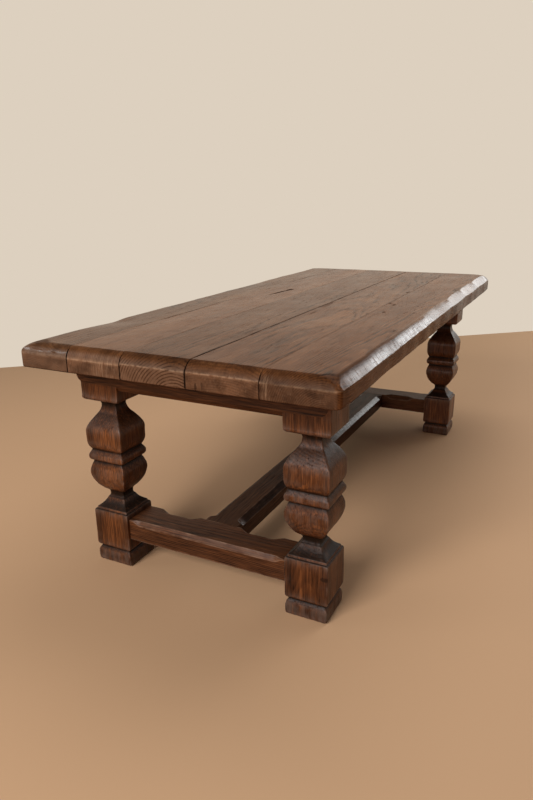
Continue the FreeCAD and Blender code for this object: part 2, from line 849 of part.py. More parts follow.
def top_screws(side):
    """Slotted screws from below through one cross bearer into the inner planks."""
    name = f"top_screws_{SIDE_NAMES[side]}"
    head_base = screw_seat - size("screw_head_height")
    head_width = size("screw_head_diameter")
    slot = size("screw_slot")
    screws = []
    for number, y in enumerate(screw_rows, start=1):
        label = f"{name}_{number}"
        head = rod(f"{label}_head", (0, y, head_base), ALONG_Z, head_width, size("screw_head_height"))
        shank = rod(f"{label}_shank", (0, y, screw_seat), ALONG_Z, size("screw_diameter"), screw_length)
        groove = box(
            f"{label}_slot",
            (-head_width / 2, y - slot / 2, head_base),
            (head_width, slot, size("screw_head_height") / 2),
        )
        screws.append(cut(label, joined(f"{label}_blank", [head, shank]), [groove]))
    item = group(name, screws)
    place(item, on_frame(bearer_middle, side))
    return item


def check(pieces):
    """Stops before anything is written if an object failed or a piece is empty or broken."""
    for item in doc.Objects:
        if {"Invalid", "Error"} & set(item.State):
            raise RuntimeError(f"{item.Label} failed: {item.State}")
    for item in pieces:
        if item.Shape.isNull() or not item.Shape.isValid():
            raise RuntimeError(f"{item.Label} has no valid shape")
        if not item.Shape.Solids:
            raise RuntimeError(f"{item.Label} holds no solid")


post = leg_blank()
pieces = [plank(number) for number in range(1, PLANK_COUNT + 1)]
pieces += [tongue(number) for number in range(1, PLANK_COUNT)]
for table_side in (LEFT, RIGHT):
    pieces += [leg(post, table_side, leg_row) for leg_row in (FRONT, BACK)]
    pieces += [bearer(table_side), end_stretcher(table_side)]
    pieces += [end_pegs(table_side), bearer_pegs(table_side)]
    pieces += [leg_dowels(table_side), top_screws(table_side)]
pieces += [centre_stretcher(), centre_pegs()]
doc.recompute()
check(pieces)

os.makedirs("parts", exist_ok=True)
for piece in pieces:
    piece.Shape.exportStep(f"parts/{piece.Label}.step")
    print(piece.Label, len(piece.Shape.Solids), round(piece.Shape.Volume))
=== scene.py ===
import math

import bmesh
import bpy
import numpy as np
from mathutils import Matrix, Vector


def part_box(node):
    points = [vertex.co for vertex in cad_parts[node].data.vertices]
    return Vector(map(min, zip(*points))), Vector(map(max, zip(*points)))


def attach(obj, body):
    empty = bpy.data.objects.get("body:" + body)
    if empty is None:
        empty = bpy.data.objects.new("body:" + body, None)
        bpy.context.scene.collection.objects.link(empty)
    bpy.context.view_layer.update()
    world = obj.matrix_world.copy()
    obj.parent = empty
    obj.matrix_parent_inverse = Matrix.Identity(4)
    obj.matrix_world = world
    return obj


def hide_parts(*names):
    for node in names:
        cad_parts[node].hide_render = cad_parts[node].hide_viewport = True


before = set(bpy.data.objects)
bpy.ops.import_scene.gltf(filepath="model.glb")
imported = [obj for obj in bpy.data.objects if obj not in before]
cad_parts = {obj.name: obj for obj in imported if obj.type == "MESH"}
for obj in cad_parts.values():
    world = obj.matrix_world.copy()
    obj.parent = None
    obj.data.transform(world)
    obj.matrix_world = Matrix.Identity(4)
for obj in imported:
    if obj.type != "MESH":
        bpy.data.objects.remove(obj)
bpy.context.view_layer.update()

# Old oak refectory table: thick plank top, square baluster legs, cross bearers and H stretchers.
# X runs along the table, Y across it and Z up; left is -X, right is +X, front is -Y, back is +Y.

scene = bpy.context.scene
MM = 0.001
# Keeps a divisor above zero
TINY = 1e-9
PLANKS = range(1, 6)

# Camera fitted to the photograph, in metres and radians
CAMERA_PLACE = (-2.327, -0.9464, 1.1467)
CAMERA_YAW, CAMERA_PITCH, CAMERA_ROLL = 0.4697, 0.3090, -0.0122
FOCAL_PIXELS, IMAGE_HEIGHT = 640.72, 800
SENSOR = 36


# Shared shape helpers

def noise(points, seed, wavelength, octaves=3):
    """Smooth noise of about -1 to 1 at an array of points, as sine waves in random directions."""
    draws = np.random.default_rng(seed)
    points = np.asarray(points, float)
    total = np.zeros(points.shape[:-1])
    weight = 1.0
    spread = 0.0
    for _ in range(octaves):
        for _ in range(4):
            direction = draws.normal(size=points.shape[-1])
            direction /= np.linalg.norm(direction)
            length = wavelength * draws.uniform(0.7, 1.4)
            phase = draws.uniform(0, 2 * math.pi)
            total += weight * np.sin(points @ direction * (2 * math.pi / length) + phase)
            spread += weight * weight / 2
        wavelength /= 2
        weight /= 2
    return total / math.sqrt(spread) / 1.6


def along(values, seed, wavelength, octaves=3):
    """Noise along one line."""
    return noise(np.asarray(values, float)[..., None], seed, wavelength, octaves)


def ease(t):
    """Ogee step from 0 to 1."""
    t = np.clip(t, 0, 1)
    return t * t * (3 - 2 * t)


def rise(values, start, run):
    """Ogee step from 0 to 1 that begins at `start`; pairs of constants hold a start and a run."""
    return ease((values - start) / run)


def wave(points, seed, shape, octaves=3):
    """Noise of a given wavelength and height."""
    wavelength, height = shape
    return noise(points, seed, wavelength, octaves) * height


def bump(distance, width):
    """Bell that is 1 at no distance and fades over the given width."""
    return np.exp(-(np.asarray(distance) / width) ** 2)


class Shell:
    """Grids of points that grow into one mesh, with wear and painted highlights, grime and painted shade,
    and gloss painted on its vertices.
    """

    def __init__(self):
        self.points = []
        self.wear_and_highlight = []
        self.grime_and_shade = []
        self.gloss = []
        self.faces = []

    def grid(self, points, wear_and_highlight=0.0, grime_and_shade=0.0, gloss=0.0, closed=False):
        """Adds a grid of quads; a closed grid joins its last column to its first."""
        rows, columns = points.shape[:2]
        first = len(self.points)
        self.points.extend(points.reshape(-1, 3).tolist())
        for painted, values in ((self.wear_and_highlight, wear_and_highlight), (self.grime_and_shade, grime_and_shade), (self.gloss, gloss)):
            painted.extend(np.broadcast_to(values, (rows, columns)).ravel().tolist())
        for row in range(rows - 1):
            for column in range(columns if closed else columns - 1):
                after = (column + 1) % columns
                a = first + row * columns
                b = a + columns
                self.faces.append((a + column, a + after, b + after, b + column))
        return first

    def tube(self, points, wear_and_highlight, grime_and_shade, gloss):
        """Adds a closed grid and fills its first and its last ring with one flat face each."""
        first = self.grid(points, wear_and_highlight, grime_and_shade, gloss, closed=True)
        rows, columns = points.shape[:2]
        for start in (first, first + (rows - 1) * columns):
            self.faces.append(tuple(range(start, start + columns)))

    def build(self, name, nodes, slot, material, sharp):
        """Turns the grids into an object that stands for the given CAD nodes."""
        mesh = bpy.data.meshes.new(name)
        mesh.from_pydata(self.points, [], self.faces)
        for label, values in (("wear_and_highlight", self.wear_and_highlight), ("grime_and_shade", self.grime_and_shade), ("gloss", self.gloss)):
            mesh.attributes.new(label, "FLOAT", "POINT").data.foreach_set("value", values)
        cage = bmesh.new()
        cage.from_mesh(mesh)
        bmesh.ops.remove_doubles(cage, verts=cage.verts, dist=1e-6)
        bmesh.ops.recalc_face_normals(cage, faces=cage.faces)
        cage.to_mesh(mesh)
        cage.free()
        mesh.shade_smooth()
        mesh.set_sharp_from_angle(angle=math.radians(sharp))
        mesh.materials.append(material)
        piece = bpy.data.objects.new(name, mesh)
        scene.collection.objects.link(piece)
        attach(piece, "root")
        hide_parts(*nodes)


# Plank top

# Planks that hold a long edge of the table, and the direction of each long edge
OUTER_EDGE = {1: "back", 5: "front"}
OUTWARD = {"front": -1, "back": 1}
# Seeds of the noises, to which the number of a plank or joint is added
SEED = {
    "joint": 40, "fine_joint": 60, "joint_dirt": 90, "swell": 100, "fine_swell": 130,
    "end_wave": 150, "stain": 170, "wall": 190,
}
# Spacing of the grid, and of the finer rows just inside the roundovers
GRID_STEP = 9 * MM
FINE_STEPS = np.arange(1, 7) * (4 * MM)
PLANK_SHARP = 17

# Widths of the roundovers of the ends and of the long edges, and the drops of both
END_ROUND = 30 * MM
SIDE_ROUND = {"front": 30 * MM, "back": 42 * MM}
END_DROP = {1: 31.5 * MM, 2: 32 * MM, 3: 27.6 * MM, 4: 27.1 * MM, 5: 29.4 * MM}
SIDE_DROP = 28 * MM
# Variation of the width at the ends from plank to plank, as a sine
END_UNEVEN, END_STEP = 0.06, 2.3
# Angles at which each plank's roundover leaves the flat and meets its end, fuller towards the back
ROUND_ANGLES = {1: (6, 86), 2: (12, 74), 3: (18, 66), 4: (20, 62), 5: (20, 62)}
ROUND_STEPS = 12
# Share of a long edge's roundover that its soft shoulder takes up
SHOULDER = 0.55
# Where the back edge loses its full round, from the left end
FULL_ROUND = (0.1, 0.3)
# How far the roundovers run together at a corner, and the radius of the upright corners
CORNER_SOFT = 1.33
CORNER_ROUND = {"front": 20 * MM, "back": 6 * MM}

# Scoops that hands wore into the long edges: number, lengths, depths, roundness, size and mean level
SCOOP_COUNT, SCOOP_LENGTHS, SCOOP_DEPTHS = 40, (0.16, 0.42), (0.3, 1.0)
SCOOP_ROUND, SCOOP_SIZE, SCOOP_LEVEL = 0.8, 1.5, 0.5
SCOOP_SEED = {"front": 8, "back": 7}
# How far the scoops cut into each long edge, and how they grow from the left end
SCALLOP = {"front": 0.26, "back": 0.10}
SCALLOP_LEAST, SCALLOP_RUN = 0.45, 1.2
# Where they die out at both ends, and how much they deepen the drop
SCALLOP_LEFT, SCALLOP_RIGHT, SCALLOP_DROP = 0.2, 0.1, 0.35
# How flat hands and plates wore the long edges, where that grows and ends, and how much less they fall
SCOOPED = {"front": 0.75, "back": 0.4}
SCOOPED_LEFT, SCOOPED_RIGHT, SCOOPED_RAISE = (0.35, 0.8), 0.12, 0.2
# Hollow and waver of the long edges in plan, and how far in they reach
EDGE_REACH = 45 * MM
EDGE_HOLLOW = {"front": 1.5 * MM, "back": 5 * MM}
HOLLOW_RUN = 0.5
WAVER_SEED = {"front": 28, "back": 27}
WAVER = (0.4, 1.2 * MM)
# The long edges are polished, less so on their upper part near the left end
UNPOLISHED, UNPOLISHED_UP, UNPOLISHED_LEFT = 0.9, (0.25, 0.4), (0.15, 0.8)
POLISH_ENDS = (15 * MM, 80 * MM)
# Shallow dip worn into the back edge: where it starts, is deepest and stops, its depth and its reach
DIP_START, DIP_DEEPEST, DIP_STOP = -0.86, -0.69, -0.61
DIP_DEPTH, DIP_REACH = 5.5 * MM, 150 * MM

# Columns beside a joint: share of the V and room after it
JOINT_SHARES = np.array([0, 0.12, 0.4, 1.0, 1.0, 1.0, 1.0])
JOINT_ROOM = np.array([0, 0, 0, 0, 1.0, 2.4, 5.0]) * MM
# Depth of the V at each joint, counted from the back, width of its dirt and how dark it is on the flat
JOINT_ROUND = {1: 0.9 * MM, 2: 0.7 * MM, 3: 2.4 * MM, 4: 1.4 * MM}
JOINT_DIRT = {1: 1.3 * MM, 2: 1.3 * MM, 3: 2.1 * MM, 4: 1.6 * MM}
JOINT_SHOWS = {1: 0.3, 2: 0.25, 3: 1.0, 4: 0.45}
# How soon the dirt grows over the ends, and how much wider it gets there
JOINT_GROWS, JOINT_GROWTH = 3, 0.3
# Mean strength of the dirt, how much it varies and over which length
JOINT_GRIME, JOINT_VARIES, JOINT_PATCH = 1.25, 0.35, 0.12
# Wavelength and depth of the waver of the joints, and how far in it reaches
JOINT_WAVE, FINE_JOINT_WAVE = (0.5, 0.9 * MM), (0.05, 0.25 * MM)
JOINT_REACH = 60 * MM
# How deep the joints cut into the ends, compared with the flat
GROOVE_IN = 0.8

# Wavelength and depth of the unevenness of the flat and of the ends, and what wear took off both
SWELL, FINE_SWELL = (0.35, 0.35 * MM), (0.09, 0.1 * MM)
END_WAVE, END_REACH = (0.11, 1.0 * MM), 60 * MM
FACE_LOSS, END_LOSS = 0.2 * MM, 0.8 * MM
# How bare the lower arris of each rounded end is, and that of the long edges near the ends
ARRIS_WIDTH = 1.3 * MM
END_WEAR = {1: 0.3, 2: 0.55, 3: 0.7, 4: 0.75, 5: 0.75}
SIDE_WEAR, SIDE_WEAR_RUN = 0.75, 70 * MM
# Painted shade darkens the roundover of the ends in patches and dulls its shine
END_PAINTED_SHADE, SHADE_PAINT_VARIES, SHADE_PAINT_PATCH = 0.53, 0.25, 0.08
SHADE_PAINT_START, SHADE_PAINT_FADE, SHADE_PAINT_WIDTHS = 1.6 * MM, 5 * MM, 1.6
# The lower part of the round gets less of the painted shade, and its left end is polished down to this share
LOWER_ROUND, SHADE_PAINT_LOST = (0.2, 0.3), 0.45
END_SHINE = {1: 2.6, 2: 0.6, 3: 0.4, 4: 0.3, 5: 0.2}
SHINE_STOP = (0.93, 0.07)
# Share of the painted shade that is taken off at the corners, and where that fades in widths of the round
CORNER_SHADE_CUT = {"front": 0.45, "back": 0.1}
SHADE_CUT_FADE = (0.8, 1.6)
# The shoulders of the long edges get painted shade near the left end, between these shares of the round
SHOULDER_PAINTED_SHADE = {"front": 0.5, "back": 0.15}
SHOULDER_LOW, SHOULDER_HIGH, SHOULDER_LEFT = (0.3, 0.3), (0.8, 0.3), (0.1, 0.9)
# Rows down the upright faces, and how far each is tucked in
WALL_ROWS = np.array([0, 0.07, 0.18, 0.35, 0.55, 0.78, 0.94, 1.0])
WALL_TUCK = np.array([0, 0, 0, 0, 0, 0, 0.4, 2.6]) * MM
# Reach of the arris wear and of the dirt down those faces, and patches of the dirt
WALL_WEAR, WALL_DIRT, DIRT_VARIES, DIRT_PATCH = 0.05, 0.2, 0.7, 0.09
# Dirt on the long edges, on the flat end of each plank and on the underside
SIDE_DIRT, UNDER_DIRT = 0.12, 0.25
END_DIRT = {1: 0.36, 2: 0.36, 3: 0.0, 4: 0.18, 5: 0.20}


def roundover_steps(number):
    """Inward distance and drop of a plank's roundover, as shares, from the arris up to the flat."""
    start, stop = np.radians(ROUND_ANGLES[number])
    sweep = np.linspace(stop, start, ROUND_STEPS)
    inward = math.sin(stop) - np.sin(sweep)
    drop = math.cos(start) - np.cos(sweep)
    return inward / inward[-1], drop / drop[0]


def shoulder_drop(share):
    """Drop of a worn edge, as a share: a soft shoulder next to the flat and a slope below it."""
    below = np.clip(1 - share, 0, 1)
    bent = np.minimum(below, SHOULDER) / SHOULDER
    fallen = SHOULDER * bent ** 3 * (1 - bent / 2) + np.maximum(below - SHOULDER, 0)
    return fallen / (1 - SHOULDER / 2)


def joint_line(joint, x):
    """Wavering offset of a joint."""
    places = x[:, None]
    coarse = wave(places, SEED["joint"] + joint, JOINT_WAVE)
    return coarse + wave(places, SEED["fine_joint"] + joint, FINE_JOINT_WAVE, 1)


def scoops(x, seed):
    """Hand-worn scoops along an edge, which meet in soft cusps; about -0.5 to 1."""
    draws = np.random.default_rng(seed)
    ends = np.cumsum(draws.uniform(*SCOOP_LENGTHS, size=SCOOP_COUNT)) + x[0] - SCOOP_LENGTHS[1]
    depths = draws.uniform(*SCOOP_DEPTHS, size=SCOOP_COUNT)
    place = np.clip(np.searchsorted(ends, x), 1, len(ends) - 1)
    share = (x - ends[place - 1]) / (ends[place] - ends[place - 1])
    return np.sin(share * math.pi) ** SCOOP_ROUND * depths[place] * SCOOP_SIZE - SCOOP_LEVEL


def soft_least(first, second):
    """The lesser of two shares, rounded off where they are alike."""
    least = np.minimum(first, second)
    reach = np.maximum(CORNER_SOFT * least, TINY)
    near = np.clip(1 - np.abs(first - second) / reach, 0, 1)
    return least - near * near * reach / 4


def joint_at(number, label):
    """Joint at one side of a plank, counted from the back."""
    return number - 1 if label == "back" else number


def plank_side(number, label):
    """Columns at one long side of a plank: inward distances, and depths of the V at a joint."""
    if OUTER_EDGE.get(number) == label:
        inward = roundover_steps(number)[0] * SIDE_ROUND[label]
        return inward, inward * 0
    depth = JOINT_ROUND[joint_at(number, label)]
    return JOINT_SHARES * depth + JOINT_ROOM, (1 - JOINT_SHARES) ** 2 * depth


class Plank:
    """One plank with rounded ends, a worn outer edge and V joints, as a closed box of grids."""

    def __init__(self, number):
        self.number = number
        self.edge = OUTER_EDGE.get(number)
        self.low, self.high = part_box(f"top_plank_{number}")
        self.end_width = END_ROUND * (1 + END_UNEVEN * math.sin(END_STEP * number))
        self.x, self.end_share = self.rows()
        y, self.groove = self.columns()
        self.grid_x, self.grid_y = np.meshgrid(self.x, y, indexing="ij")
        self.flat = np.stack((self.grid_x, self.grid_y), axis=-1)
        self.from_left = self.grid_x - self.low.x
        self.from_right = self.high.x - self.grid_x
        self.from_end = np.minimum(self.from_left, self.from_right)
        self.from_side = {"back": self.high.y - self.grid_y, "front": self.grid_y - self.low.y}
        self.shift = np.zeros_like(self.grid_x)
        self.wear_and_highlight = np.zeros_like(self.grid_x)
        self.grime_and_shade = np.zeros_like(self.grid_x)
        self.gloss = np.zeros_like(self.grid_x)

    def rows(self):
        """Places along the plank, close together at its rounded ends, and the drops there as shares."""
        inward, drop = roundover_steps(self.number)
        left = self.low.x + inward * self.end_width
        right = self.high.x - inward[::-1] * self.end_width
        left_fine = left[-1] + FINE_STEPS
        right_fine = right[0] - FINE_STEPS
        count = int((right[0] - left[-1]) / GRID_STEP)
        plain = np.linspace(left_fine[-1], right_fine[-1], count)[1:-1]
        middle = np.concatenate((left_fine, plain, right_fine[::-1]))
        share = np.concatenate((drop, middle * 0, drop[::-1]))
        return np.concatenate((left, middle, right)), share

    def columns(self):
        """Places across the plank from back to front, and the depths of the V joints there."""
        back_in, back_groove = plank_side(self.number, "back")
        front_in, front_groove = plank_side(self.number, "front")
        first = self.high.y - back_in[-1] - FINE_STEPS * (self.edge == "back")
        last = self.low.y + front_in[-1] + FINE_STEPS * (self.edge == "front")
        count = int((self.high.y - self.low.y) / GRID_STEP)
        inner = np.linspace(first[-1], last[-1], count)[1:-1]
        if self.edge == "back":
            inner = np.concatenate((first, inner))
        if self.edge == "front":
            inner = np.concatenate((inner, last[::-1]))
        y = np.concatenate((self.high.y - back_in, inner, (self.low.y + front_in)[::-1]))
        return y, np.concatenate((back_groove, inner * 0, front_groove[::-1]))

    def wear_long_edge(self):
        """Scoops, hollow, polish and bare arris of the plank's outer edge; gives the growth of its drop."""
        label = self.edge
        away = self.from_side[label]
        start, stop = self.x - self.low.x, self.high.x - self.x
        more = SCALLOP_LEAST + (1 - SCALLOP_LEAST) * ease(start / SCALLOP_RUN)
        more = more * ease(start / SCALLOP_LEFT) * ease(stop / SCALLOP_RIGHT)
        scooped = (scoops(self.x, SCOOP_SEED[label]) * SCALLOP[label] * more)[:, None]
        # A hair is added so that rounding can't leave out the last column of the roundover
        over = away < SIDE_ROUND[label] * 1.001
        near = np.clip(1 - away / EDGE_REACH, 0, 1)
        hollow = ease(self.from_left / HOLLOW_RUN) * ease(self.from_right / HOLLOW_RUN)
        waver = wave(self.x[:, None], WAVER_SEED[label], WAVER)[:, None]
        outward = near * (waver - hollow * EDGE_HOLLOW[label]) - np.where(over, away * scooped, 0)
        self.shift += OUTWARD[label] * outward
        upper = rise(away / SIDE_ROUND[label], *UNPOLISHED_UP)
        unpolished = upper * (1 - rise(self.from_left, *UNPOLISHED_LEFT))
        self.gloss = over * (1 - UNPOLISHED * unpolished) * rise(self.from_end, *POLISH_ENDS)
        self.wear_and_highlight = bump(away, ARRIS_WIDTH) * SIDE_WEAR * (1 - ease(self.from_end / SIDE_WEAR_RUN))
        return 1 + scooped * SCALLOP_DROP

    def open_joint(self, label):
        """Wavering line of one of the plank's joints and the dirt in it."""
        joint = joint_at(self.number, label)
        away = self.from_side[label]
        self.shift += joint_line(joint, self.x)[:, None] * bump(away, JOINT_REACH)
        over_end = np.clip(self.end_share * JOINT_GROWS, 0, 1)
        shows = JOINT_SHOWS[joint] + (1 - JOINT_SHOWS[joint]) * over_end
        reach = JOINT_DIRT[joint] * (1 + JOINT_GROWTH * over_end)
        strength = JOINT_GRIME + JOINT_VARIES * along(self.x, SEED["joint_dirt"] + joint, JOINT_PATCH)
        dirt = bump(away, reach[:, None]) * (shows * strength)[:, None]
        self.grime_and_shade = np.maximum(self.grime_and_shade, dirt)

    def round_edges(self):
        """Drop of the surface, way in from the arris, and share of the painted shade that is taken off at
        the corners.
        """
        if not self.edge:
            end_fall = self.end_share[:, None] * END_DROP[self.number]
            return np.maximum(end_fall, self.groove), self.from_end, 0.0
        label = self.edge
        deeper = self.wear_long_edge()
        over_end = self.from_end / self.end_width
        over_side = self.from_side[label] / SIDE_ROUND[label]
        share = soft_least(over_end, over_side)
        scooped = SCOOPED[label] * rise(self.from_left, *SCOOPED_LEFT)
        scooped = scooped * ease(self.from_right / SCOOPED_RIGHT)
        is_end = ease(0.5 + (over_side - over_end) / 2)
        full = is_end
        if label == "back":
            full = np.maximum(is_end, 1 - rise(self.from_left, *FULL_ROUND))
        round_drop = np.interp(share, *roundover_steps(self.number))
        rounded = shoulder_drop(share) * (1 - full) + round_drop * full
        rounded += (np.clip(1 - share, 0, 1) - rounded) * scooped
        side_drop = SIDE_DROP * (deeper - scooped * SCOOPED_RAISE)
        fall = rounded * (END_DROP[self.number] * is_end + side_drop * (1 - is_end))
        # Painted shade on the shoulder of the long edge near the left end
        stain = rise(over_side, *SHOULDER_LOW) * (1 - rise(share, *SHOULDER_HIGH))
        stain = stain * (1 - rise(self.from_left, *SHOULDER_LEFT)) * SHOULDER_PAINTED_SHADE[label]
        self.grime_and_shade = np.maximum(self.grime_and_shade, stain)
        # Less painted shade at the corners
        shade_cut = CORNER_SHADE_CUT[label] * (1 - rise(over_side, *SHADE_CUT_FADE))
        return fall, share * self.end_width, shade_cut

    def paint_ends(self, fall, edge_in, shade_cut):
        """Bare arrises, painted shade and polish of the rounded ends."""
        number, width = self.number, self.end_width
        self.wear_and_highlight = np.maximum(self.wear_and_highlight, bump(self.from_end, ARRIS_WIDTH) * END_WEAR[number])
        # Painted shade on the roundover of the ends, in patches, less on its lower part and at the corners
        patchy = 1 + SHADE_PAINT_VARIES * noise(self.flat, SEED["stain"] + number, SHADE_PAINT_PATCH)
        stain = ease(self.from_end / SHADE_PAINT_START) * (1 - rise(edge_in, width, SHADE_PAINT_FADE)) * END_PAINTED_SHADE
        stain = stain * patchy * (1 - rise(self.from_end, SHADE_PAINT_WIDTHS * width, width)) * (1 - shade_cut)
        fallen = np.where(self.from_end < width, fall / END_DROP[number], 0)
        lower = rise(fallen, *LOWER_ROUND)
        self.grime_and_shade = np.maximum(self.grime_and_shade, stain * (1 - SHADE_PAINT_LOST * lower))
        shine = END_SHINE[number] * lower * (1 - rise(fallen, *SHINE_STOP))
        self.gloss = np.maximum(self.gloss, shine * (self.grid_x < 0))

    def height(self, fall):
        """Height of the upper surface."""
        swell = wave(self.flat, SEED["swell"] + self.number, SWELL)
        swell += wave(self.flat, SEED["fine_swell"] + self.number, FINE_SWELL, 2)
        z = self.high.z - fall + swell - FACE_LOSS
        if self.edge == "back":
            dip = rise(self.grid_x, DIP_START, DIP_DEEPEST - DIP_START)
            dip = dip * ease((DIP_STOP - self.grid_x) / (DIP_STOP - DIP_DEEPEST))
            z -= DIP_DEPTH * dip * (1 - ease(self.from_side["back"] / DIP_REACH))
        return z

    def plan(self):
        """Places of the points in plan: wavering ends, shifted sides and rounded upright corners."""
        towards = np.sign(self.grid_x)
        waver = wave(np.stack((self.grid_y, towards), -1), SEED["end_wave"] + self.number, END_WAVE)
        near = np.clip(1 - self.from_end / END_REACH, 0, 1)
        x = self.grid_x - towards * near * (END_LOSS + np.abs(waver) + self.groove * GROOVE_IN)
        y = self.grid_y + self.shift
        if self.edge:
            # The square of points at each corner is drawn onto a quarter circle
            over_end = np.clip(CORNER_ROUND[self.edge] - self.from_end, 0, None)
            over_side = np.clip(CORNER_ROUND[self.edge] - self.from_side[self.edge], 0, None)
            away = np.maximum(np.hypot(over_end, over_side), TINY)
            drawn = np.maximum(over_end, over_side) / away
            x = x - towards * over_end * (1 - drawn)
            y = y - OUTWARD[self.edge] * over_side * (1 - drawn)
        return x, y

    def upper_surface(self):
        """Points of the upper surface; paints its wear, grime, painted shade and gloss on the way."""
        for label in OUTWARD:
            if label != self.edge:
                self.open_joint(label)
        fall, edge_in, shade_cut = self.round_edges()
        self.paint_ends(fall, edge_in, shade_cut)
        return np.stack((*self.plan(), self.height(fall)), axis=-1)

    def wall(self, edge, outward, wear_and_highlight, grime_and_shade, dirt):
        """Upright face from an edge of the upper surface down to the underside, with its paint."""
        rows = edge[None] * np.ones((len(WALL_ROWS), 1, 1))
        rows[..., 2] = edge[None, :, 2] + (self.low.z - edge[None, :, 2]) * WALL_ROWS[:, None]
        rows -= WALL_TUCK[:, None, None] * outward
        patchy = 1 + DIRT_VARIES * noise(rows, SEED["wall"] + self.number, DIRT_PATCH)
        blotch = dirt * ease(WALL_ROWS / WALL_DIRT)[:, None] * patchy
        return rows, wear_and_highlight[None] * bump(WALL_ROWS, WALL_WEAR)[:, None], np.maximum(grime_and_shade[None], blotch)

    def build(self, material):
        """Closes the box of grids and makes the piece."""
        top = self.upper_surface()
        under = top.copy()
        under[..., 2] = self.low.z
        shell = Shell()
        shell.grid(top, self.wear_and_highlight, self.grime_and_shade, self.gloss)
        end_dirt = END_DIRT[self.number]
        for side, outward, dirt in (
            (np.s_[0], (-1, 0, 0), end_dirt),
            (np.s_[-1], (1, 0, 0), end_dirt),
            (np.s_[:, 0], (0, 1, 0), SIDE_DIRT),
            (np.s_[:, -1], (0, -1, 0), SIDE_DIRT),
        ):
            outward = np.array(outward)
            under[side] -= WALL_TUCK[-1] * outward
            shell.grid(*self.wall(top[side], outward, self.wear_and_highlight[side], self.grime_and_shade[side], dirt))
        shell.grid(under, 0.0, UNDER_DIRT)
        name = f"plank_{self.number}"
        shell.build(name, [f"top_{name}"], "top_wood", material, PLANK_SHARP)


# Legs

QUARTER = math.tan(math.radians(90 / 4))
# Half outline from the floor up in millimetres: half width, height, bulge of the arc to the next point
LEG_OUTLINE = [
    (54, 0, QUARTER), (63, 9, 0), (63, 29, 0.22), (55, 50, 0), (54.5, 54, 0.36), (64.3, 69, 0),
    (64.3, 182, 0), (62.4, 185.5, 0), (58, 186.5, 0), (57.2, 193, 0), (54, 195, -0.14), (31, 222, -0.2),
    (25.5, 231, -0.05), (26.5, 243, -0.1), (35.7, 252, 0.16), (64.8, 312, 0.03), (64.4, 326, 0.05),
    (54.8, 353, 0), (55, 355, 0.34), (65.4, 369, 0.08), (64.6, 377, 0.03), (56, 392, 0), (57, 394, 0.16),
    (66, 424, 0), (66.4, 448, 0.15), (61, 474, 0.05), (38, 508, -0.14), (27.5, 533, 0), (27.2, 536, -0.387),
    (47, 556, 0), (55, 556, QUARTER), (68, 569, 0), (68, 688, 0),
]
# Distance between the rings of a leg, and points on each side and each arris of a ring
LEG_RING, SIDE_POINTS, ARC_POINTS = 1.7, 9, 5
# Blur of the outline's widths and heights, in rings
WIDTH_BLUR, HEIGHT_BLUR = 0.7, 0.6
# Steps along each line or arc of the outline before it is spaced evenly
OUTLINE_STEPS = 60
LEG_SHARP = 50
LEG_SEED = {"leg_back_left": 69, "leg_front_left": 66, "leg_front_right": 24, "leg_back_right": 27}
# Heights of a leg's parts in millimetres
SOLE, FOOT, FOOT_GROOVE, SHELF_LOW, SHELF_HIGH = 12, 22, 52, 183, 232
CAP_GROOVE, CAP, CAP_FACE, DENTS_STOP = 554, 560, 569, 680
# The arrises are rounded inwards, so the faces stand this much prouder below the cap
LEG_GROWTH, GROWTH_FADE = 1.2, 12
# The bearer lies a hair proud of the outer face of the cap block
BEARER_PROUD = 0.7 * MM
# Radius of the arrises in millimetres, how much it varies along a leg, and its limits
ARRIS, ARRIS_VARIES, ARRIS_WAVE, ARRIS_LIMITS = 3.2, 1.4, 0.13, (1.2, 8)
CAP_ARRIS, SOLE_ARRIS = 0.55, 1.5
# Wavelength and depth of the dents
DENTS, FINE_DENTS, DENTS_FADE = (0.10, 0.35 * MM), (0.03, 0.12 * MM), 60
# Blur that finds hollows and crests, in rings, and the depth and height at which they count in full
HOLLOW_BLUR, HOLLOW_DEPTH, CREST_HEIGHT = 9, 4, 2.5
# Darker on the slopes that face up and beside the arrises; dirt in the groove under the cap and at the foot
LEDGE_DARKER, CAP_DIRT, FOOT_DIRT, BESIDE_DARKER = 0.78, 0.85, 0.5, 0.4
LEDGE_SLOPE = (0.2, 0.5)
# Reach of the dirt in millimetres: in the groove under the cap, above the foot and on the foot
CAP_REACH, GROOVE_REACH, FOOT_REACH = 7, 5, 20
# How bare the arrises, the crests and the foot are, and how much dust and painted sheen lighten the slopes
# that face up
ARRIS_RUB, CREST_RUB, CREST_ARRIS_RUB, LEDGE_DUST_AND_SHEEN, FOOT_DUST = 0.55, 0.35, 0.3, 0.15, 0.45
# Painted glints on the arrises of the slopes above the plinth, and how polished all arrises are
SHELF_PAINTED_GLINTS, ARRIS_POLISH = 0.45, 0.5
RUB_WAVE = 0.07
# Legs were sawn by eye: how much slimmer a leg is towards -X, +X, -Y and +Y, at these heights
SLIM_HEIGHTS = (0, 54, 70, 184, 226, 317, 430, 534, 556, 570, 688)
SLIM = {
    "leg_back_left": (None, (0, 0, 0, 1, 2, 8, 10, 6, 5, 0, 0), None, None),
    "leg_front_left": (None, None, None, None),
    "leg_front_right": (
        None,
        (3, 3, 5, 5, 8, 14, 16, 10, 8, 5, 5),
        (6, 6, 6, 6, 4, 1, 1, 1, 2, 4, 4),
        None,
    ),
    "leg_back_right": (None, (0, 0, 0, 1, 4, 12, 14, 9, 7, 0, 0), None, None),
}


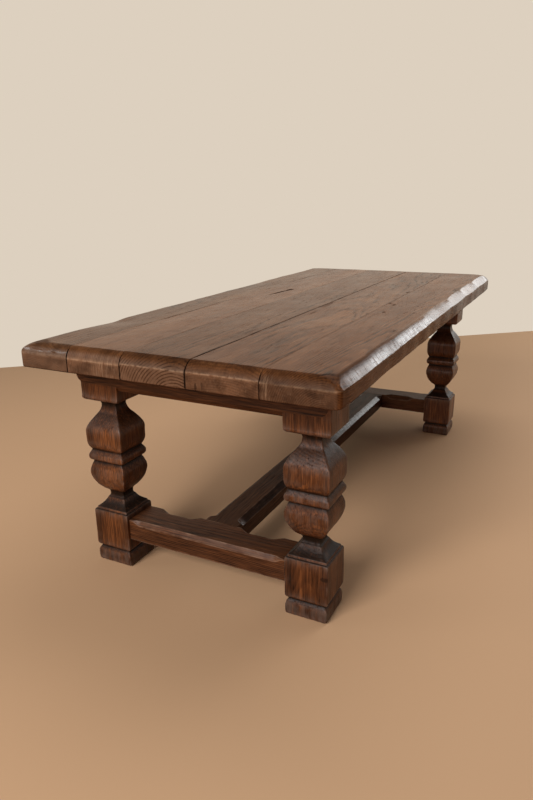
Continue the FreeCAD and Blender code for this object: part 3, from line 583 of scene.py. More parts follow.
def outline_points(outline, step):
    """Evenly spaced points along an outline of lines and arcs."""
    path = []
    for (x, y, bulge), (next_x, next_y, _) in zip(outline, outline[1:]):
        start = np.array((x, y), float)
        chord = np.array((next_x - x, next_y - y), float)
        share = np.linspace(0, 1, OUTLINE_STEPS, endpoint=False)
        if bulge == 0:
            path.append(start + share[:, None] * chord)
            continue
        half = 2 * math.atan(bulge)
        side = np.array((chord[1], -chord[0]))
        centre = start + chord / 2 - side / (2 * math.tan(half))
        arm = start - centre
        turn = share * 2 * half
        x_turned = centre[0] + arm[0] * np.cos(turn) - arm[1] * np.sin(turn)
        y_turned = centre[1] + arm[0] * np.sin(turn) + arm[1] * np.cos(turn)
        path.append(np.stack((x_turned, y_turned), axis=-1))
    path.append(np.array([outline[-1][:2]], float))
    path = np.concatenate(path)
    walked = np.concatenate(([0], np.cumsum(np.linalg.norm(np.diff(path, axis=0), axis=1))))
    stops = np.linspace(0, walked[-1], int(walked[-1] / step))
    return np.stack([np.interp(stops, walked, path[:, axis]) for axis in (0, 1)], axis=-1)


def softened(values, width):
    """Values blurred along a line, with the ends held."""
    reach = int(width * 3) + 1
    weights = np.exp(-0.5 * (np.arange(-reach, reach + 1) / width) ** 2)
    padded = np.pad(values, reach, mode="edge")
    return np.convolve(padded, weights / weights.sum(), mode="valid")


def square_ring(low_x, high_x, low_y, high_y, radius):
    """Rings of points round squares with rounded corners, and shares on and beside their arrises."""
    corners = ((1, -1, -90), (1, 1, 0), (-1, 1, 90), (-1, -1, 180))
    arcs = []
    for corner, (sign_x, sign_y, start) in enumerate(corners):
        turn = np.radians(start + np.linspace(0, 90, ARC_POINTS))
        curve = radius[:, corner, None]
        half_x = (high_x if sign_x > 0 else low_x)[:, None]
        half_y = (high_y if sign_y > 0 else low_y)[:, None]
        x = sign_x * (half_x - curve) + curve * np.cos(turn)
        y = sign_y * (half_y - curve) + curve * np.sin(turn)
        arcs.append(np.stack((x, y), axis=-1))
    share = np.linspace(0, 1, SIDE_POINTS + 2)[1:-1, None]
    parts = []
    for corner in range(4):
        first, second = arcs[corner][:, -1:], arcs[(corner + 1) % 4][:, :1]
        parts += [arcs[corner], first + (second - first) * share]
    arc = np.sin(np.linspace(0, math.pi, ARC_POINTS)) * 0.7 + 0.3
    across = np.abs(np.linspace(-1, 1, SIDE_POINTS))
    arris = np.tile(np.concatenate((arc, across ** 10 * 0.25)), 4)
    beside = np.tile(np.concatenate((arc * 0 + 0.4, across ** 4)), 4)
    return np.concatenate(parts, axis=1), arris, beside


def leg_widths(name, width, height):
    """Half widths of a leg towards -X, +X, -Y and +Y."""
    growth = LEG_GROWTH * np.clip((CAP - height) / GROWTH_FADE, 0, 1)
    halves = []
    for slim in SLIM[name]:
        less = np.interp(height, SLIM_HEIGHTS, slim) if slim else 0
        halves.append((width + growth - less) * MM)
    low_x, high_x, low_y, high_y = halves
    proud = np.where(height > CAP_FACE, BEARER_PROUD, 0)
    return low_x - proud, high_x - proud, low_y, high_y


def leg_arrises(height, seed):
    """Radii of the four arrises of a leg."""
    worn = np.stack([along(height * MM, seed + 5 * corner, ARRIS_WAVE) for corner in range(4)], axis=1)
    radius = ARRIS + ARRIS_VARIES * worn
    radius = np.where(height[:, None] > CAP, radius * CAP_ARRIS, radius)
    radius = np.where(height[:, None] < SOLE, radius * SOLE_ARRIS, radius)
    return np.clip(radius, *ARRIS_LIMITS) * MM


def leg_paint(width, height, arris, beside, seed):
    """Wear with painted sheen and glints, and grime with darker places, of a leg."""
    hollow = softened(width, HOLLOW_BLUR) - width
    slope = np.clip(-np.gradient(width) / np.hypot(np.gradient(height), np.gradient(width)), 0, 1)
    ledge = rise(slope, *LEDGE_SLOPE)
    shelf = np.clip((height - SHELF_LOW) / 4, 0, 1) * np.clip((SHELF_HIGH - height) / 8, 0, 1)
    foot = bump(height - FOOT, FOOT_REACH)
    # Dirt lies in the hollows; the slopes that face up are darker, most of all above the plinth, and so are
    # the places beside arrises
    dirt = (
        np.clip(hollow / HOLLOW_DEPTH, 0, 1),
        ledge * (LEDGE_DARKER + (1 - LEDGE_DARKER) * shelf),
        bump(height - CAP_GROOVE, CAP_REACH) * CAP_DIRT,
        bump(height - FOOT_GROOVE, GROOVE_REACH),
        foot * FOOT_DIRT,
    )
    grime_and_shade = np.maximum(np.max(dirt, axis=0)[:, None], beside * BESIDE_DARKER)
    crest = np.clip(-hollow / CREST_HEIGHT, 0, 1)[:, None]
    rubbed = 0.5 + 0.5 * along(height * MM, seed + 77, RUB_WAVE)[:, None]
    # Dust on the foot; dust and painted sheen on the slopes that face up
    dust_and_sheen = np.maximum(ledge * (1 - shelf) * LEDGE_DUST_AND_SHEEN, foot * FOOT_DUST)[:, None]
    # Painted glints on the arrises above the plinth
    painted_glints = arris * shelf[:, None] * SHELF_PAINTED_GLINTS
    wear_and_highlight = arris * rubbed * ARRIS_RUB + crest * (CREST_RUB + CREST_ARRIS_RUB * arris) + dust_and_sheen + painted_glints
    return np.clip(wear_and_highlight, 0, 1), grime_and_shade


def leg(name, material):
    """Square baluster leg with worn arrises, lofted from its outline."""
    low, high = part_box(name)
    seed = LEG_SEED[name]
    path = outline_points(LEG_OUTLINE, LEG_RING)
    width = softened(path[:, 0], WIDTH_BLUR)
    height = softened(path[:, 1], HEIGHT_BLUR)
    height[0], height[-1] = 0, LEG_OUTLINE[-1][1]
    ring, arris, beside = square_ring(*leg_widths(name, width, height), leg_arrises(height, seed))
    points = np.zeros(ring.shape[:2] + (3,))
    points[..., :2] = ring + np.array(((low.x + high.x) / 2, (low.y + high.y) / 2))
    points[..., 2] = height[:, None] * MM
    dents = wave(points, seed, DENTS) + wave(points, seed + 31, FINE_DENTS, 2) - FACE_LOSS
    fade = np.clip((DENTS_STOP - height) / DENTS_FADE, 0, 1)[:, None, None]
    points[..., :2] += ring / np.linalg.norm(ring, axis=-1, keepdims=True) * dents[..., None] * fade
    wear_and_highlight, grime_and_shade = leg_paint(width, height, arris, beside, seed)
    shell = Shell()
    shell.tube(points, wear_and_highlight, grime_and_shade, arris * ARRIS_POLISH)
    shell.build(name.replace("leg_", "post_"), [name], "leg_wood", material, LEG_SHARP)


# Stretchers

BEAM_STEP = 5 * MM
BEAM_SHARP = 28
# Least radius of the upper arrises and its variation, and the radius of the lower ones
LEAST_ARRIS, LEAST_VARIES, LEAST_WAVE = 2.2 * MM, 0.4, 0.2
LOWER_ARRIS = LEAST_ARRIS * 1.3
# How round a plain arris is, how soon that goes as a chamfer opens, and how round the chamfers stay
PLAIN_SWELL, SWELL_GOES, CHAMFER_SWELL = 0.26, 3, 0.03
# Wavelength and height of the beams' unevenness, and what wear took off their upper half
BEAM_WAVE, BEAM_LOSS = (0.25, 0.5 * MM), 0.3 * MM
# Shares across a chamfer, up a side and across the top, close to the arrises so that wear stays narrow
CHAMFER_SHARES = np.array((0, 0.1, 0.5, 0.9, 1))
SIDE_SHARES = np.array((0.06, 0.5, 0.95))
FLAT_SHARES = np.array((0.02, 0.06, 0.25, 0.5, 0.75, 0.94, 0.98))
# Points round a lower arris, as shares of its radius
ROUND_IN, ROUND_UP = np.array((1, 0.3, 0)), np.array((0, 0.3, 1))
# Wear of a lower arris with its side and of an upper corner, and where a corner holds dirt
SIDE_RUB = np.array((0.5, 0.5, 0.5, 0, 0, 0))
CORNER_RUB = np.array((0.8, 0.25, 0.1, 0.3, 0.9))
CORNER_DIRT = np.array((0.2, 1.0, 1.0, 1.0, 0.2))
# Mean share of that wear, how much it varies and over which length
BEAM_WEAR, BEAM_WEAR_VARIES, BEAM_WEAR_WAVE = 0.7, 0.3, 0.1


def beam(name, node, axis, length, width, base, top, chamfers, dirt, rub, material, seed):
    """Stretcher swept along X or Y with a stopped chamfer on each upper arris.

    `length` gives the two ends, `width` the two sides, and `chamfers` holds for the low and the high
    side a function from a place along the beam to how far its chamfer is open, with its width and height.
    `dirt` and `rub` are functions from a place to the grime and painted shade in the chamfers and to their
    polish.
    """
    stations = np.linspace(*length, int((length[1] - length[0]) / BEAM_STEP))
    ones = np.ones((len(stations), 1))
    opened = [chamfer[0](stations)[:, None] for chamfer in chamfers]

    def upper_corner(side, sign):
        """Five points from the side face up onto the top."""
        _, across, down = chamfers[side]
        waver = along(stations, seed + 1 + side, LEAST_WAVE)
        least = (LEAST_ARRIS * (1 + LEAST_VARIES * waver))[:, None]
        run = np.maximum(opened[side] * across, least)
        fall = np.maximum(opened[side] * down, least)
        swell = PLAIN_SWELL * np.clip(1 - opened[side] * SWELL_GOES, 0, 1) + CHAMFER_SWELL
        arch = np.sin(CHAMFER_SHARES * math.pi) * swell
        outward = width[side] - sign * run * CHAMFER_SHARES + sign * run * arch
        return outward, top - fall * (1 - CHAMFER_SHARES) + fall * arch

    low_u, low_v = upper_corner(0, -1)
    high_u, high_v = upper_corner(1, 1)
    foot = base + LOWER_ARRIS
    round_in, round_up = ROUND_IN * LOWER_ARRIS, base + ROUND_UP * LOWER_ARRIS
    inner = width[0] - width[1] + LOWER_ARRIS * 2
    u = (
        ones * (width[0] + round_in),
        ones * np.full(len(SIDE_SHARES), width[0]),
        low_u,
        low_u[:, -1:] + (high_u[:, -1:] - low_u[:, -1:]) * FLAT_SHARES,
        high_u[:, ::-1],
        ones * np.full(len(SIDE_SHARES), width[1]),
        ones * (width[1] - round_in[::-1]),
        ones * (width[1] - LOWER_ARRIS + inner * FLAT_SHARES),
    )
    v = (
        ones * round_up,
        foot + (low_v[:, :1] - foot) * SIDE_SHARES,
        low_v,
        ones * np.full(len(FLAT_SHARES), top),
        high_v[:, ::-1],
        (foot + (high_v[:, :1] - foot) * SIDE_SHARES)[:, ::-1],
        ones * round_up[::-1],
        ones * np.full(len(FLAT_SHARES), base),
    )
    u, v = np.concatenate(u, axis=1), np.concatenate(v, axis=1)
    t = stations[:, None] * np.ones(u.shape[1])
    points = np.stack((t, u, v) if axis == "x" else (u, t, v), axis=-1)
    points[..., 2] += wave(points, seed, BEAM_WAVE) - BEAM_LOSS * (v > (base + top) / 2)
    flat = FLAT_SHARES * 0
    wear_and_highlight = np.concatenate((SIDE_RUB, CORNER_RUB, flat, CORNER_RUB[::-1], SIDE_RUB[::-1], flat))
    wear_and_highlight = wear_and_highlight * (BEAM_WEAR + BEAM_WEAR_VARIES * along(stations, seed + 9, BEAM_WEAR_WAVE)[:, None])
    # Dirt, painted shade and polish keep to the open chamfers
    sides, flats = ones * SIDE_RUB * 0, ones * flat
    corners = [amount * CORNER_DIRT for amount in opened]
    chamfer = np.concatenate((sides, corners[0], flats, corners[1], sides, flats), axis=1)
    grime_and_shade = chamfer * dirt(stations)[:, None]
    polish = chamfer * rub(stations)[:, None]
    shell = Shell()
    shell.tube(points, np.clip(wear_and_highlight, 0, 1), grime_and_shade, polish)
    shell.build(name, [node], "frame_wood", material, BEAM_SHARP)


def opening(start, stop, run):
    """How far a stopped chamfer is open along a beam, with an ogee of the given run at both ends."""
    return lambda places: ease((places - start) / run) * ease((stop - places) / run)


def both(first, second):
    """Two stopped chamfers on one arris."""
    return lambda places: np.maximum(first(places), second(places))


def ramp(first, last, start, stop):
    """Level that eases from one value to another along a beam."""
    return lambda places: first + (last - first) * rise(places, start, stop - start)


def even_level(value):
    """The same level all along a beam."""
    return lambda places: np.full_like(places, value)


# Widths and heights of the stretchers' chamfers
OUTER_CHAMFER = (9 * MM, 15 * MM)
INNER_CHAMFER = (22 * MM, 18 * MM)
CENTRE_CHAMFER = (20 * MM, 16 * MM)
# Gaps from the stops of the chamfers to the plinths and to the centre stretcher, and runs of the stops
OUTER_GAP, OUTER_RUN = 6 * MM, 36 * MM
INNER_GAP, INNER_CENTRE_GAP, INNER_RUN = 50 * MM, 8 * MM, 40 * MM
CENTRE_GAP, CENTRE_RUN = 16 * MM, 26 * MM
# Half a plinth, and how far the stretchers reach into the plinths and into each other
PLINTH_HALF, PLINTH_SUNK, CENTRE_SUNK = 64 * MM, 4 * MM, 2 * MM
# What wear took off below the end stretchers and above the centre stretcher
END_BASE_LOSS, CENTRE_TOP_LOSS = 0.6 * MM, 0.2 * MM
END_SEED, CENTRE_SEED = {"left": 299, "right": 301}, 340
# Dirt and polish in the chamfers, those of the centre stretcher from its left to its right part; on the
# centre stretcher the dirt is partly painted shade, heavier on the left part
END_RAIL_DIRT, END_RAIL_POLISH = even_level(0.0), even_level(0.2)
CENTRE_DIRT_AND_SHADE = ramp(0.72, 0.25, -0.15, 0.15)
CENTRE_POLISH = ramp(0.1, 2.2, -0.15, 0.15)
# Feet have polished the chamfers next to their left stops, over this half length
POLISHED_STOP, POLISHED_REACH = 2.2, 15 * MM


def end_stretcher(side, centre_edge, material):
    """Stretcher between two legs; `centre_edge` is how far the centre stretcher reaches to the back."""
    node = f"end_stretcher_{side}"
    low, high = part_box(node)
    leg_low, leg_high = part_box(f"leg_back_{side}")
    reach = (leg_low.y + leg_high.y) / 2 - PLINTH_HALF
    outer = (opening(OUTER_GAP - reach, reach - OUTER_GAP, OUTER_RUN), *OUTER_CHAMFER)
    near, far = centre_edge + INNER_CENTRE_GAP, reach - INNER_GAP
    inner = (both(opening(near, far, INNER_RUN), opening(-far, -near, INNER_RUN)), *INNER_CHAMFER)
    beam(
        f"end_rail_{side}", node, "y", (-reach - PLINTH_SUNK, reach + PLINTH_SUNK), (low.x, high.x),
        low.z + END_BASE_LOSS, high.z, (outer, inner) if side == "left" else (inner, outer),
        END_RAIL_DIRT, END_RAIL_POLISH, material, END_SEED[side],
    )


def centre_stretcher(material):
    """Long stretcher between the two end stretchers."""
    low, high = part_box("centre_stretcher")
    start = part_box("end_stretcher_left")[1].x
    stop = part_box("end_stretcher_right")[0].x
    chamfer = (opening(start + CENTRE_GAP, stop - CENTRE_GAP, CENTRE_RUN), *CENTRE_CHAMFER)
    polished_place = start + CENTRE_GAP + CENTRE_RUN

    def dirt(places):
        """Dirt and painted shade in the chamfers, less next to the left stops."""
        return CENTRE_DIRT_AND_SHADE(places) * (1 - bump(places - polished_place, POLISHED_REACH))

    def rub(places):
        """Polish of the chamfers."""
        return CENTRE_POLISH(places) + POLISHED_STOP * bump(places - polished_place, POLISHED_REACH)

    beam(
        "centre_rail", "centre_stretcher", "x", (start - CENTRE_SUNK, stop + CENTRE_SUNK), (low.y, high.y),
        low.z, high.z - CENTRE_TOP_LOSS, (chamfer, chamfer), dirt, rub, material, CENTRE_SEED,
    )


# Materials

class Graph:
    """Node tree of one material, built by calls that take sockets or plain values."""

    def __init__(self, name):
        self.material = bpy.data.materials.new(name)
        self.material.use_nodes = True
        self.tree = self.material.node_tree
        self.shader = self.tree.nodes["Principled BSDF"]

    def set(self, name, value):
        """Links or sets an input of the shader."""
        self.put(self.shader.inputs[name], value)

    def put(self, socket, value):
        """Links a socket or sets a plain value."""
        if isinstance(value, bpy.types.NodeSocket):
            self.tree.links.new(value, socket)
        else:
            socket.default_value = value

    def node(self, kind, inputs, output=0, **settings):
        """New node with its settings and inputs; gives one output."""
        item = self.tree.nodes.new(kind)
        for field, value in settings.items():
            setattr(item, field, value)
        for key, value in inputs.items():
            self.put(item.inputs[key], value)
        return item.outputs[output]

    def math(self, operation, *values):
        return self.node("ShaderNodeMath", dict(enumerate(values)), operation=operation)

    def times(self, first, *others):
        for other in others:
            first = self.math("MULTIPLY", first, other)
        return first

    def scaled(self, value, factor, offset=0.0):
        return self.math("MULTIPLY_ADD", value, factor, offset)

    def total(self, first, *others):
        for other in others:
            first = self.math("ADD", first, other)
        return first

    def blend(self, *terms):
        """Sum of sockets, each with a factor and perhaps an offset."""
        return self.total(*[self.scaled(*term) for term in terms])

    def band(self, value, low, high, start=0.0, end=1.0):
        """Smooth step of a value between two limits."""
        limits = {0: value, 1: low, 2: high, 3: start, 4: end}
        return self.node("ShaderNodeMapRange", limits, interpolation_type="SMOOTHSTEP")

    def mix(self, share, first, second):
        return self.node("ShaderNodeMix", {0: share, 6: first, 7: second}, 2, data_type="RGBA")

    def split(self, vector):
        item = self.tree.nodes.new("ShaderNodeSeparateXYZ")
        self.put(item.inputs[0], vector)
        return list(item.outputs)

    def attribute(self, name):
        return self.node("ShaderNodeAttribute", {}, "Fac", attribute_name=name)


def rgb(red, green, blue):
    """Colour from display values of 0 to 255."""
    shares = [channel / 255 for channel in (red, green, blue)]
    return tuple(s / 12.92 if s <= 0.04045 else ((s + 0.055) / 1.055) ** 2.4 for s in shares) + (1.0,)


# Order of the length, the breadth and the depth of the wood for each direction of its grain
GRAIN_ORDER = {"x": (0, 1, 2), "y": (1, 0, 2), "z": (2, 0, 1)}
# Colour of dirt, of pores and of painted shade
GRIME_AND_SHADE = rgb(17, 11, 8)
# How much hand polish adds to the specular level
POLISHED = 0.22
# How much of the end-grain colour shows on an end
END_SHARE = 0.85
GRAIN_DEPTH = 0.9 * MM


class Oak(Graph):
    """Stained oak as a solid texture: rings round a leaning pith, streaks, pores, wear and grime, with
    painted shade, shadows and highlights.

    `pith` and `tilt` place the heart of the tree across the grain. `tones` are the dark, the middle, the
    light, the worn and the end-grain colour. `figure`, `arc` and `streaks` are the strengths of the rings on
    the faces, of the rings on the end grain and of the streaks. `polish` is the mean roughness, `sheen` the
    specular level, `dulling` how much of it dirt and painted shade take away and `relief` the depth of the
    grain. On the end grain, `mottle` is the strength of dark patches and pale flecks, and `scrapes` are pale
    scratched places as place across, half width and strength. `marks_and_shadows` are cracks and knots, and
    painted shadows, as place, half sizes, slant and strength.
    """

    def __init__(
        self, name, grain, pith, tilt, tones, seed, ring=5.5 * MM, polish=0.40, relief=0.6, figure=1.0,
        arc=0.6, streaks=1.0, mottle=0.0, scrapes=(), sheen=0.10, dulling=0.4, marks_and_shadows=(),
    ):
        super().__init__(name)
        self.seed = seed
        axes = self.split(self.node("ShaderNodeTexCoord", {}, "Object"))
        self.length, self.across, self.depth = (axes[index] for index in GRAIN_ORDER[grain])
        facing = self.split(self.node("ShaderNodeNewGeometry", {}, "Normal"))[GRAIN_ORDER[grain][0]]
        self.end_grain = self.band(self.math("ABSOLUTE", facing), 0.62, 0.9)
        self.grow(pith, tilt, ring)
        self.soil(marks_and_shadows)
        self.stain(tones, figure, arc, streaks, mottle, scrapes)
        self.finish(polish, sheen, dulling, relief)

    def grain(self, lengthwise, crosswise, shift=0.0, detail=2.0, roughness=0.5, upwards=None):
        """Noise drawn out along the grain, with a scale of its own for the depth where one is given."""
        scales = {
            0: self.scaled(self.length, lengthwise, shift + self.seed),
            1: self.scaled(self.across, crosswise, shift * 1.7),
            2: self.scaled(self.depth, upwards or crosswise, shift * 0.6),
        }
        place = self.node("ShaderNodeCombineXYZ", scales)
        inputs = {"Vector": place, "Scale": 1.0, "Detail": detail, "Roughness": roughness}
        return self.node("ShaderNodeTexNoise", inputs)

    def grow(self, pith, tilt, ring):
        """Year rings round the heart, fibres, streaks and pores."""
        waver = self.grain(1.4, 4.0, 11.3)
        ripple = self.grain(9.0, 42.0, 17.9)
        bend = self.blend((waver, 0.055, -0.0275), (ripple, 0.0052, -0.0026))
        side = self.total(self.scaled(self.length, tilt[0], -pith[0]), self.across, bend)
        height = self.total(self.scaled(self.length, tilt[1], -pith[1]), self.depth, self.scaled(bend, -0.8))
        radius = self.math("SQRT", self.total(self.times(side, side), self.times(height, height)))
        years = self.math("FRACT", self.scaled(radius, 1 / ring, self.seed))
        early = self.math("MAXIMUM", self.band(years, 0.05, 0.5, 1.0, 0.0), self.band(years, 0.86, 1.0))
        self.early = self.times(early, self.band(self.grain(3.0, 30.0, 23.7, 1.0), 0.32, 0.62, 0.35, 1.0))
        self.cloud = self.grain(1.6, 6.0, 3.1, 4.0, 0.55)
        self.fibre = self.grain(12.0, 230.0, 5.3, 3.0, 0.65)
        self.streak = self.grain(4.0, 100.0, 29.1, 3.0, 0.6)
        pore = self.band(self.grain(20.0, 290.0, 31.7, 1.0), 0.56, 0.68)
        self.pore = self.times(pore, self.scaled(self.early, 0.75, 0.25))

    def soil(self, marks_and_shadows):
        """Grime and painted shade from the vertices in patches, cracks and knots, and painted shadows."""
        uneven = self.band(self.grain(30.0, 80.0, 47.1), 0.15, 0.5, 0.6, 1.0)
        self.dirt = self.times(self.attribute("grime_and_shade"), uneven)
        # Cracks, knots and painted shadows, each a soft patch towards the grime colour
        for spot, half_sizes, slant, strength in marks_and_shadows:
            beside = self.total(self.across, self.scaled(self.length, -slant, slant * spot[0]))
            squares = []
            for axis, centre, half in zip((self.length, beside, self.depth), spot, half_sizes):
                offset = self.scaled(axis, 1 / half, -centre / half)
                squares.append(self.times(offset, offset))
            away = self.total(*squares, self.scaled(self.fibre, 1.4, -0.7))
            self.dirt = self.math("MAXIMUM", self.dirt, self.band(away, 1.0, 0.25, 0.0, strength))

    def stain(self, tones, figure, arc, streaks, mottle, scrapes):
        """Colour of the faces, the end grain, the bare places with their painted highlights, and the dirt
        and painted shade.
        """
        dark, middle, light, worn, end_light = tones
        tone = self.blend(
            (self.fibre, 1.5 * streaks, -0.75 * streaks),
            (self.streak, 0.5 * streaks, -0.25 * streaks),
            (self.cloud, 0.9, 0.05),
            (self.early, -0.30 * figure, 0.08 * figure),
        )
        colour = self.mix(self.band(tone, 0.05, 0.5), dark, middle)
        colour = self.mix(self.band(tone, 0.45, 1.0), colour, light)
        colour = self.mix(self.scaled(self.pore, 0.55), colour, GRIME_AND_SHADE)
        # End grain drinks more stain and shows its rings as arcs
        arcs = self.mix(self.band(self.early, 0.1, 0.8, 0.0, arc), end_light, dark)
        arcs = self.mix(self.scaled(self.streak, 0.9 - 0.7 * arc, -0.1), arcs, middle)
        colour = self.mix(self.scaled(self.end_grain, END_SHARE), colour, arcs)
        if mottle:
            patch = self.band(self.grain(12.0, 26.0, 0.0, 5.0, 0.65, 34.0), 0.42, 0.66, 0.0, mottle)
            colour = self.mix(self.times(self.end_grain, patch), colour, dark)
            fleck = self.band(self.grain(12.0, 300.0, 0.0, 3.0, 0.6, 120.0), 0.54, 0.74, 0.0, mottle * 0.4)
            colour = self.mix(self.times(self.end_grain, fleck), colour, worn)
        for centre, half, strength in scrapes:
            scratch = self.band(self.grain(15.0, 230.0, 0.0, 3.0, 0.6, 16.0), 0.44, 0.70, 0.0, strength)
            away = self.math("ABSOLUTE", self.scaled(self.across, 1.0, -centre))
            inside = self.band(away, half * 0.4, half, 1.0, 0.0)
            colour = self.mix(self.times(self.end_grain, inside, scratch), colour, worn)
        # Bare places, and the painted glints and sheen of the legs, take the worn colour
        patches = self.band(self.grain(24.0, 60.0, 41.3, 3.0, 0.65), 0.3, 0.62)
        rubbed = self.times(self.attribute("wear_and_highlight"), patches)
        colour = self.mix(self.scaled(rubbed, 0.8), colour, worn)
        # Dirt and painted shade darken the colour towards the grime colour
        self.set("Base Color", self.mix(self.scaled(self.dirt, 0.92), colour, GRIME_AND_SHADE))

    def finish(self, polish, sheen, dulling, relief):
        """Roughness, shine and relief of the surface."""
        # Hands polish the long edges and scratch them crosswise
        handled = self.attribute("gloss")
        scratched = self.band(self.grain(210.0, 30.0, 0.0, 3.0, 0.7), 0.46, 0.68)
        scratched = self.times(scratched, self.band(self.length, -0.5, 0.3, 1.0, 0.2), handled)
        smear = self.grain(5.0, 14.0, 53.9, 4.0, 0.6)
        rough = self.blend(
            (smear, 0.22, polish - 0.11), (self.pore, 0.18), (self.dirt, 0.3 * dulling),
            (self.end_grain, 0.08), (self.fibre, 0.10, -0.05), (scratched, 0.3), (handled, -0.08),
        )
        self.set("Roughness", rough)
        # Wax lies unevenly and is missing in open pores and under dirt and painted shade
        wax = self.blend((self.cloud, 0.5, 0.55), (self.fibre, 0.4), (self.pore, -0.35))
        wax = self.blend((wax, sheen), (handled, POLISHED))
        wax = self.times(wax, self.scaled(self.dirt, -dulling, 1.0), self.scaled(scratched, -0.5, 1.0))
        self.set("Specular IOR Level", wax)
        rough_saw = self.grain(40.0, 90.0, 59.3, 3.0)
        height = self.blend((self.fibre, 0.35), (self.pore, -0.55), (self.early, -0.25), (rough_saw, 0.5))
        # Polish fills the grain
        strength = self.math("MAXIMUM", self.scaled(handled, -0.6 * relief, relief), 0.0)
        bumps = {"Strength": strength, "Distance": GRAIN_DEPTH, "Height": height}
        self.set("Normal", self.node("ShaderNodeBump", bumps))


def steel():
    """Dull screw steel with faint turning marks."""
    graph = Graph("screw_steel")
    place = graph.node("ShaderNodeTexCoord", {}, "Object")
    mottled = graph.node("ShaderNodeTexNoise", {"Vector": place, "Scale": 900.0, "Detail": 3.0})
    graph.set("Base Color", graph.mix(mottled, rgb(92, 88, 84), rgb(150, 147, 142)))
    graph.set("Roughness", graph.scaled(mottled, 0.3, 0.3))
    graph.set("Metallic", 1.0)
    return graph.material


def shade(tones, factor, warm=1.0):
    """Tones made lighter or darker, and warmer or greyer."""
    return [
        (red * factor * warm, green * factor, blue * factor / warm, 1.0) for red, green, blue, _ in tones
    ]


TOP_TONES = [rgb(55, 31, 17), rgb(105, 64, 36), rgb(142, 94, 57), rgb(176, 142, 114), rgb(113, 84, 65)]
LEG_TONES = [rgb(30, 14, 7), rgb(82, 45, 23), rgb(136, 80, 42), rgb(128, 106, 94), rgb(110, 68, 42)]
FRAME_TONES = [rgb(36, 19, 10), rgb(78, 45, 26), rgb(114, 69, 40), rgb(164, 130, 106), rgb(105, 66, 42)]
# Each plank's tone, warmth, heart of its tree across and up, and the lean of that heart
PLANK_WOOD = {
    1: (0.99, 0.95, (0.430, 0.560), (0.010, 0.006)),
    2: (1.14, 1.01, (0.620, 0.725), (-0.006, 0.012)),
    3: (0.90, 1.01, (-0.061, 0.652), (0.012, -0.010)),
    4: (0.92, 1.04, (-0.160, 0.400), (-0.010, 0.014)),
    5: (0.95, 1.06, (-0.445, 0.640), (0.006, 0.018)),
}
# Strengths and sizes of each plank's grain and shine, by the names that Oak gives them
PLANK_LOOK = {
    1: {"figure": 0.7, "arc": 0.35, "sheen": 0.06, "ring": 5 * MM, "mottle": 0.30},
    2: {"figure": 0.7, "arc": 0.4, "sheen": 0.062, "ring": 5 * MM, "mottle": 0.40},
    3: {"figure": 0.9, "arc": 0.85, "sheen": 0.056, "ring": 8 * MM, "mottle": 0.25},
    4: {"figure": 1.0, "arc": 0.3, "sheen": 0.056, "ring": 6 * MM, "mottle": 0.50},
    5: {"figure": 1.2, "arc": 0.45, "sheen": 0.051, "ring": 5 * MM, "mottle": 0.45},
}
# Scraped places on the ends: place across, half width, strength
PLANK_SCRAPES = {2: [(0.185, 0.055, 0.35)], 5: [(-0.300, 0.018, 0.5)]}
# Cracks and knots in the planks: place, half length, width and depth, slant across the grain, strength
PLANK_MARKS = {
    2: [
        ((-1.05, 0.273, 0.702), (0.03, 0.006, 0.018), 0.0, 0.6),
        ((0.110, 0.2205, 0.76), (0.110, 0.008, 0.024), -0.137, 1.0),
        ((0.19, 0.211, 0.76), (0.032, 0.012, 0.036), -0.137, 1.0),
        ((-0.75, 0.163, 0.76), (0.014, 0.007, 0.021), -2.2, 0.6),
    ],
    4: [
        ((-0.30, -0.10, 0.76), (0.05, 0.004, 0.012), 0.05, 0.5),
        ((-0.12, -0.085, 0.76), (0.09, 0.012, 0.036), 0.1, 0.35),
        ((-1.05, -0.103, 0.698), (0.03, 0.005, 0.015), 0.0, 0.7),
        ((-1.05, -0.122, 0.702), (0.03, 0.004, 0.012), 0.0, 0.6),
        ((0.30, -0.272, 0.76), (0.035, 0.005, 0.015), 0.0, 0.7),
    ],
    5: [
        ((-1.05, -0.425, 0.716), (0.03, 0.034, 0.011), 0.0, 0.65),
        ((-0.03, -0.309, 0.76), (0.016, 0.008, 0.024), 0.0, 0.9),
        ((-0.189, -0.319, 0.76), (0.014, 0.007, 0.021), 0.0, 0.9),
        ((0.0, -0.285, 0.76), (0.02, 0.006, 0.018), 0.0, 0.8),
    ],
}

# Each leg's heart of the tree across X and Y, and its lean
LEG_WOOD = {
    "leg_back_left": ((-0.80, 0.52), (0.015, -0.02)),
    "leg_front_left": ((-0.73, -0.36), (-0.05, 0.012)),
    "leg_front_right": ((0.95, -0.20), (0.02, 0.02)),
    "leg_back_right": ((0.70, 0.25), (0.02, -0.02)),
}
# Each leg's tone and specular level; the tone of the two right legs is raised as painted light, where they
# stand in the table's shade
LEG_TONE_LIGHT_AND_SHEEN = {
    "leg_back_left": (0.93, 0.12),
    "leg_front_left": (0.92, 0.12),
    "leg_front_right": (1.25, 0.22),
    "leg_back_right": (1.25, 0.22),
}
# Marks on the front left leg: a small dark mark on the plinth and a painted shadow of the top's overhang on
# the cap; place, half sizes, slant and strength
LEG_MARKS_AND_SHADOWS = {
    "leg_front_left": [
        ((0.144, -0.906, -0.394), (0.011, 0.005, 0.015), 0.0, 0.8),
        # Painted shadow of the top's overhang on the cap
        ((0.63, -0.90, -0.34), (0.075, 0.05, 0.15), 0.0, 0.4),
    ],
}
PEG_TONES = [rgb(62, 38, 24), rgb(100, 68, 46), rgb(128, 94, 68), rgb(140, 106, 82), rgb(120, 86, 62)]

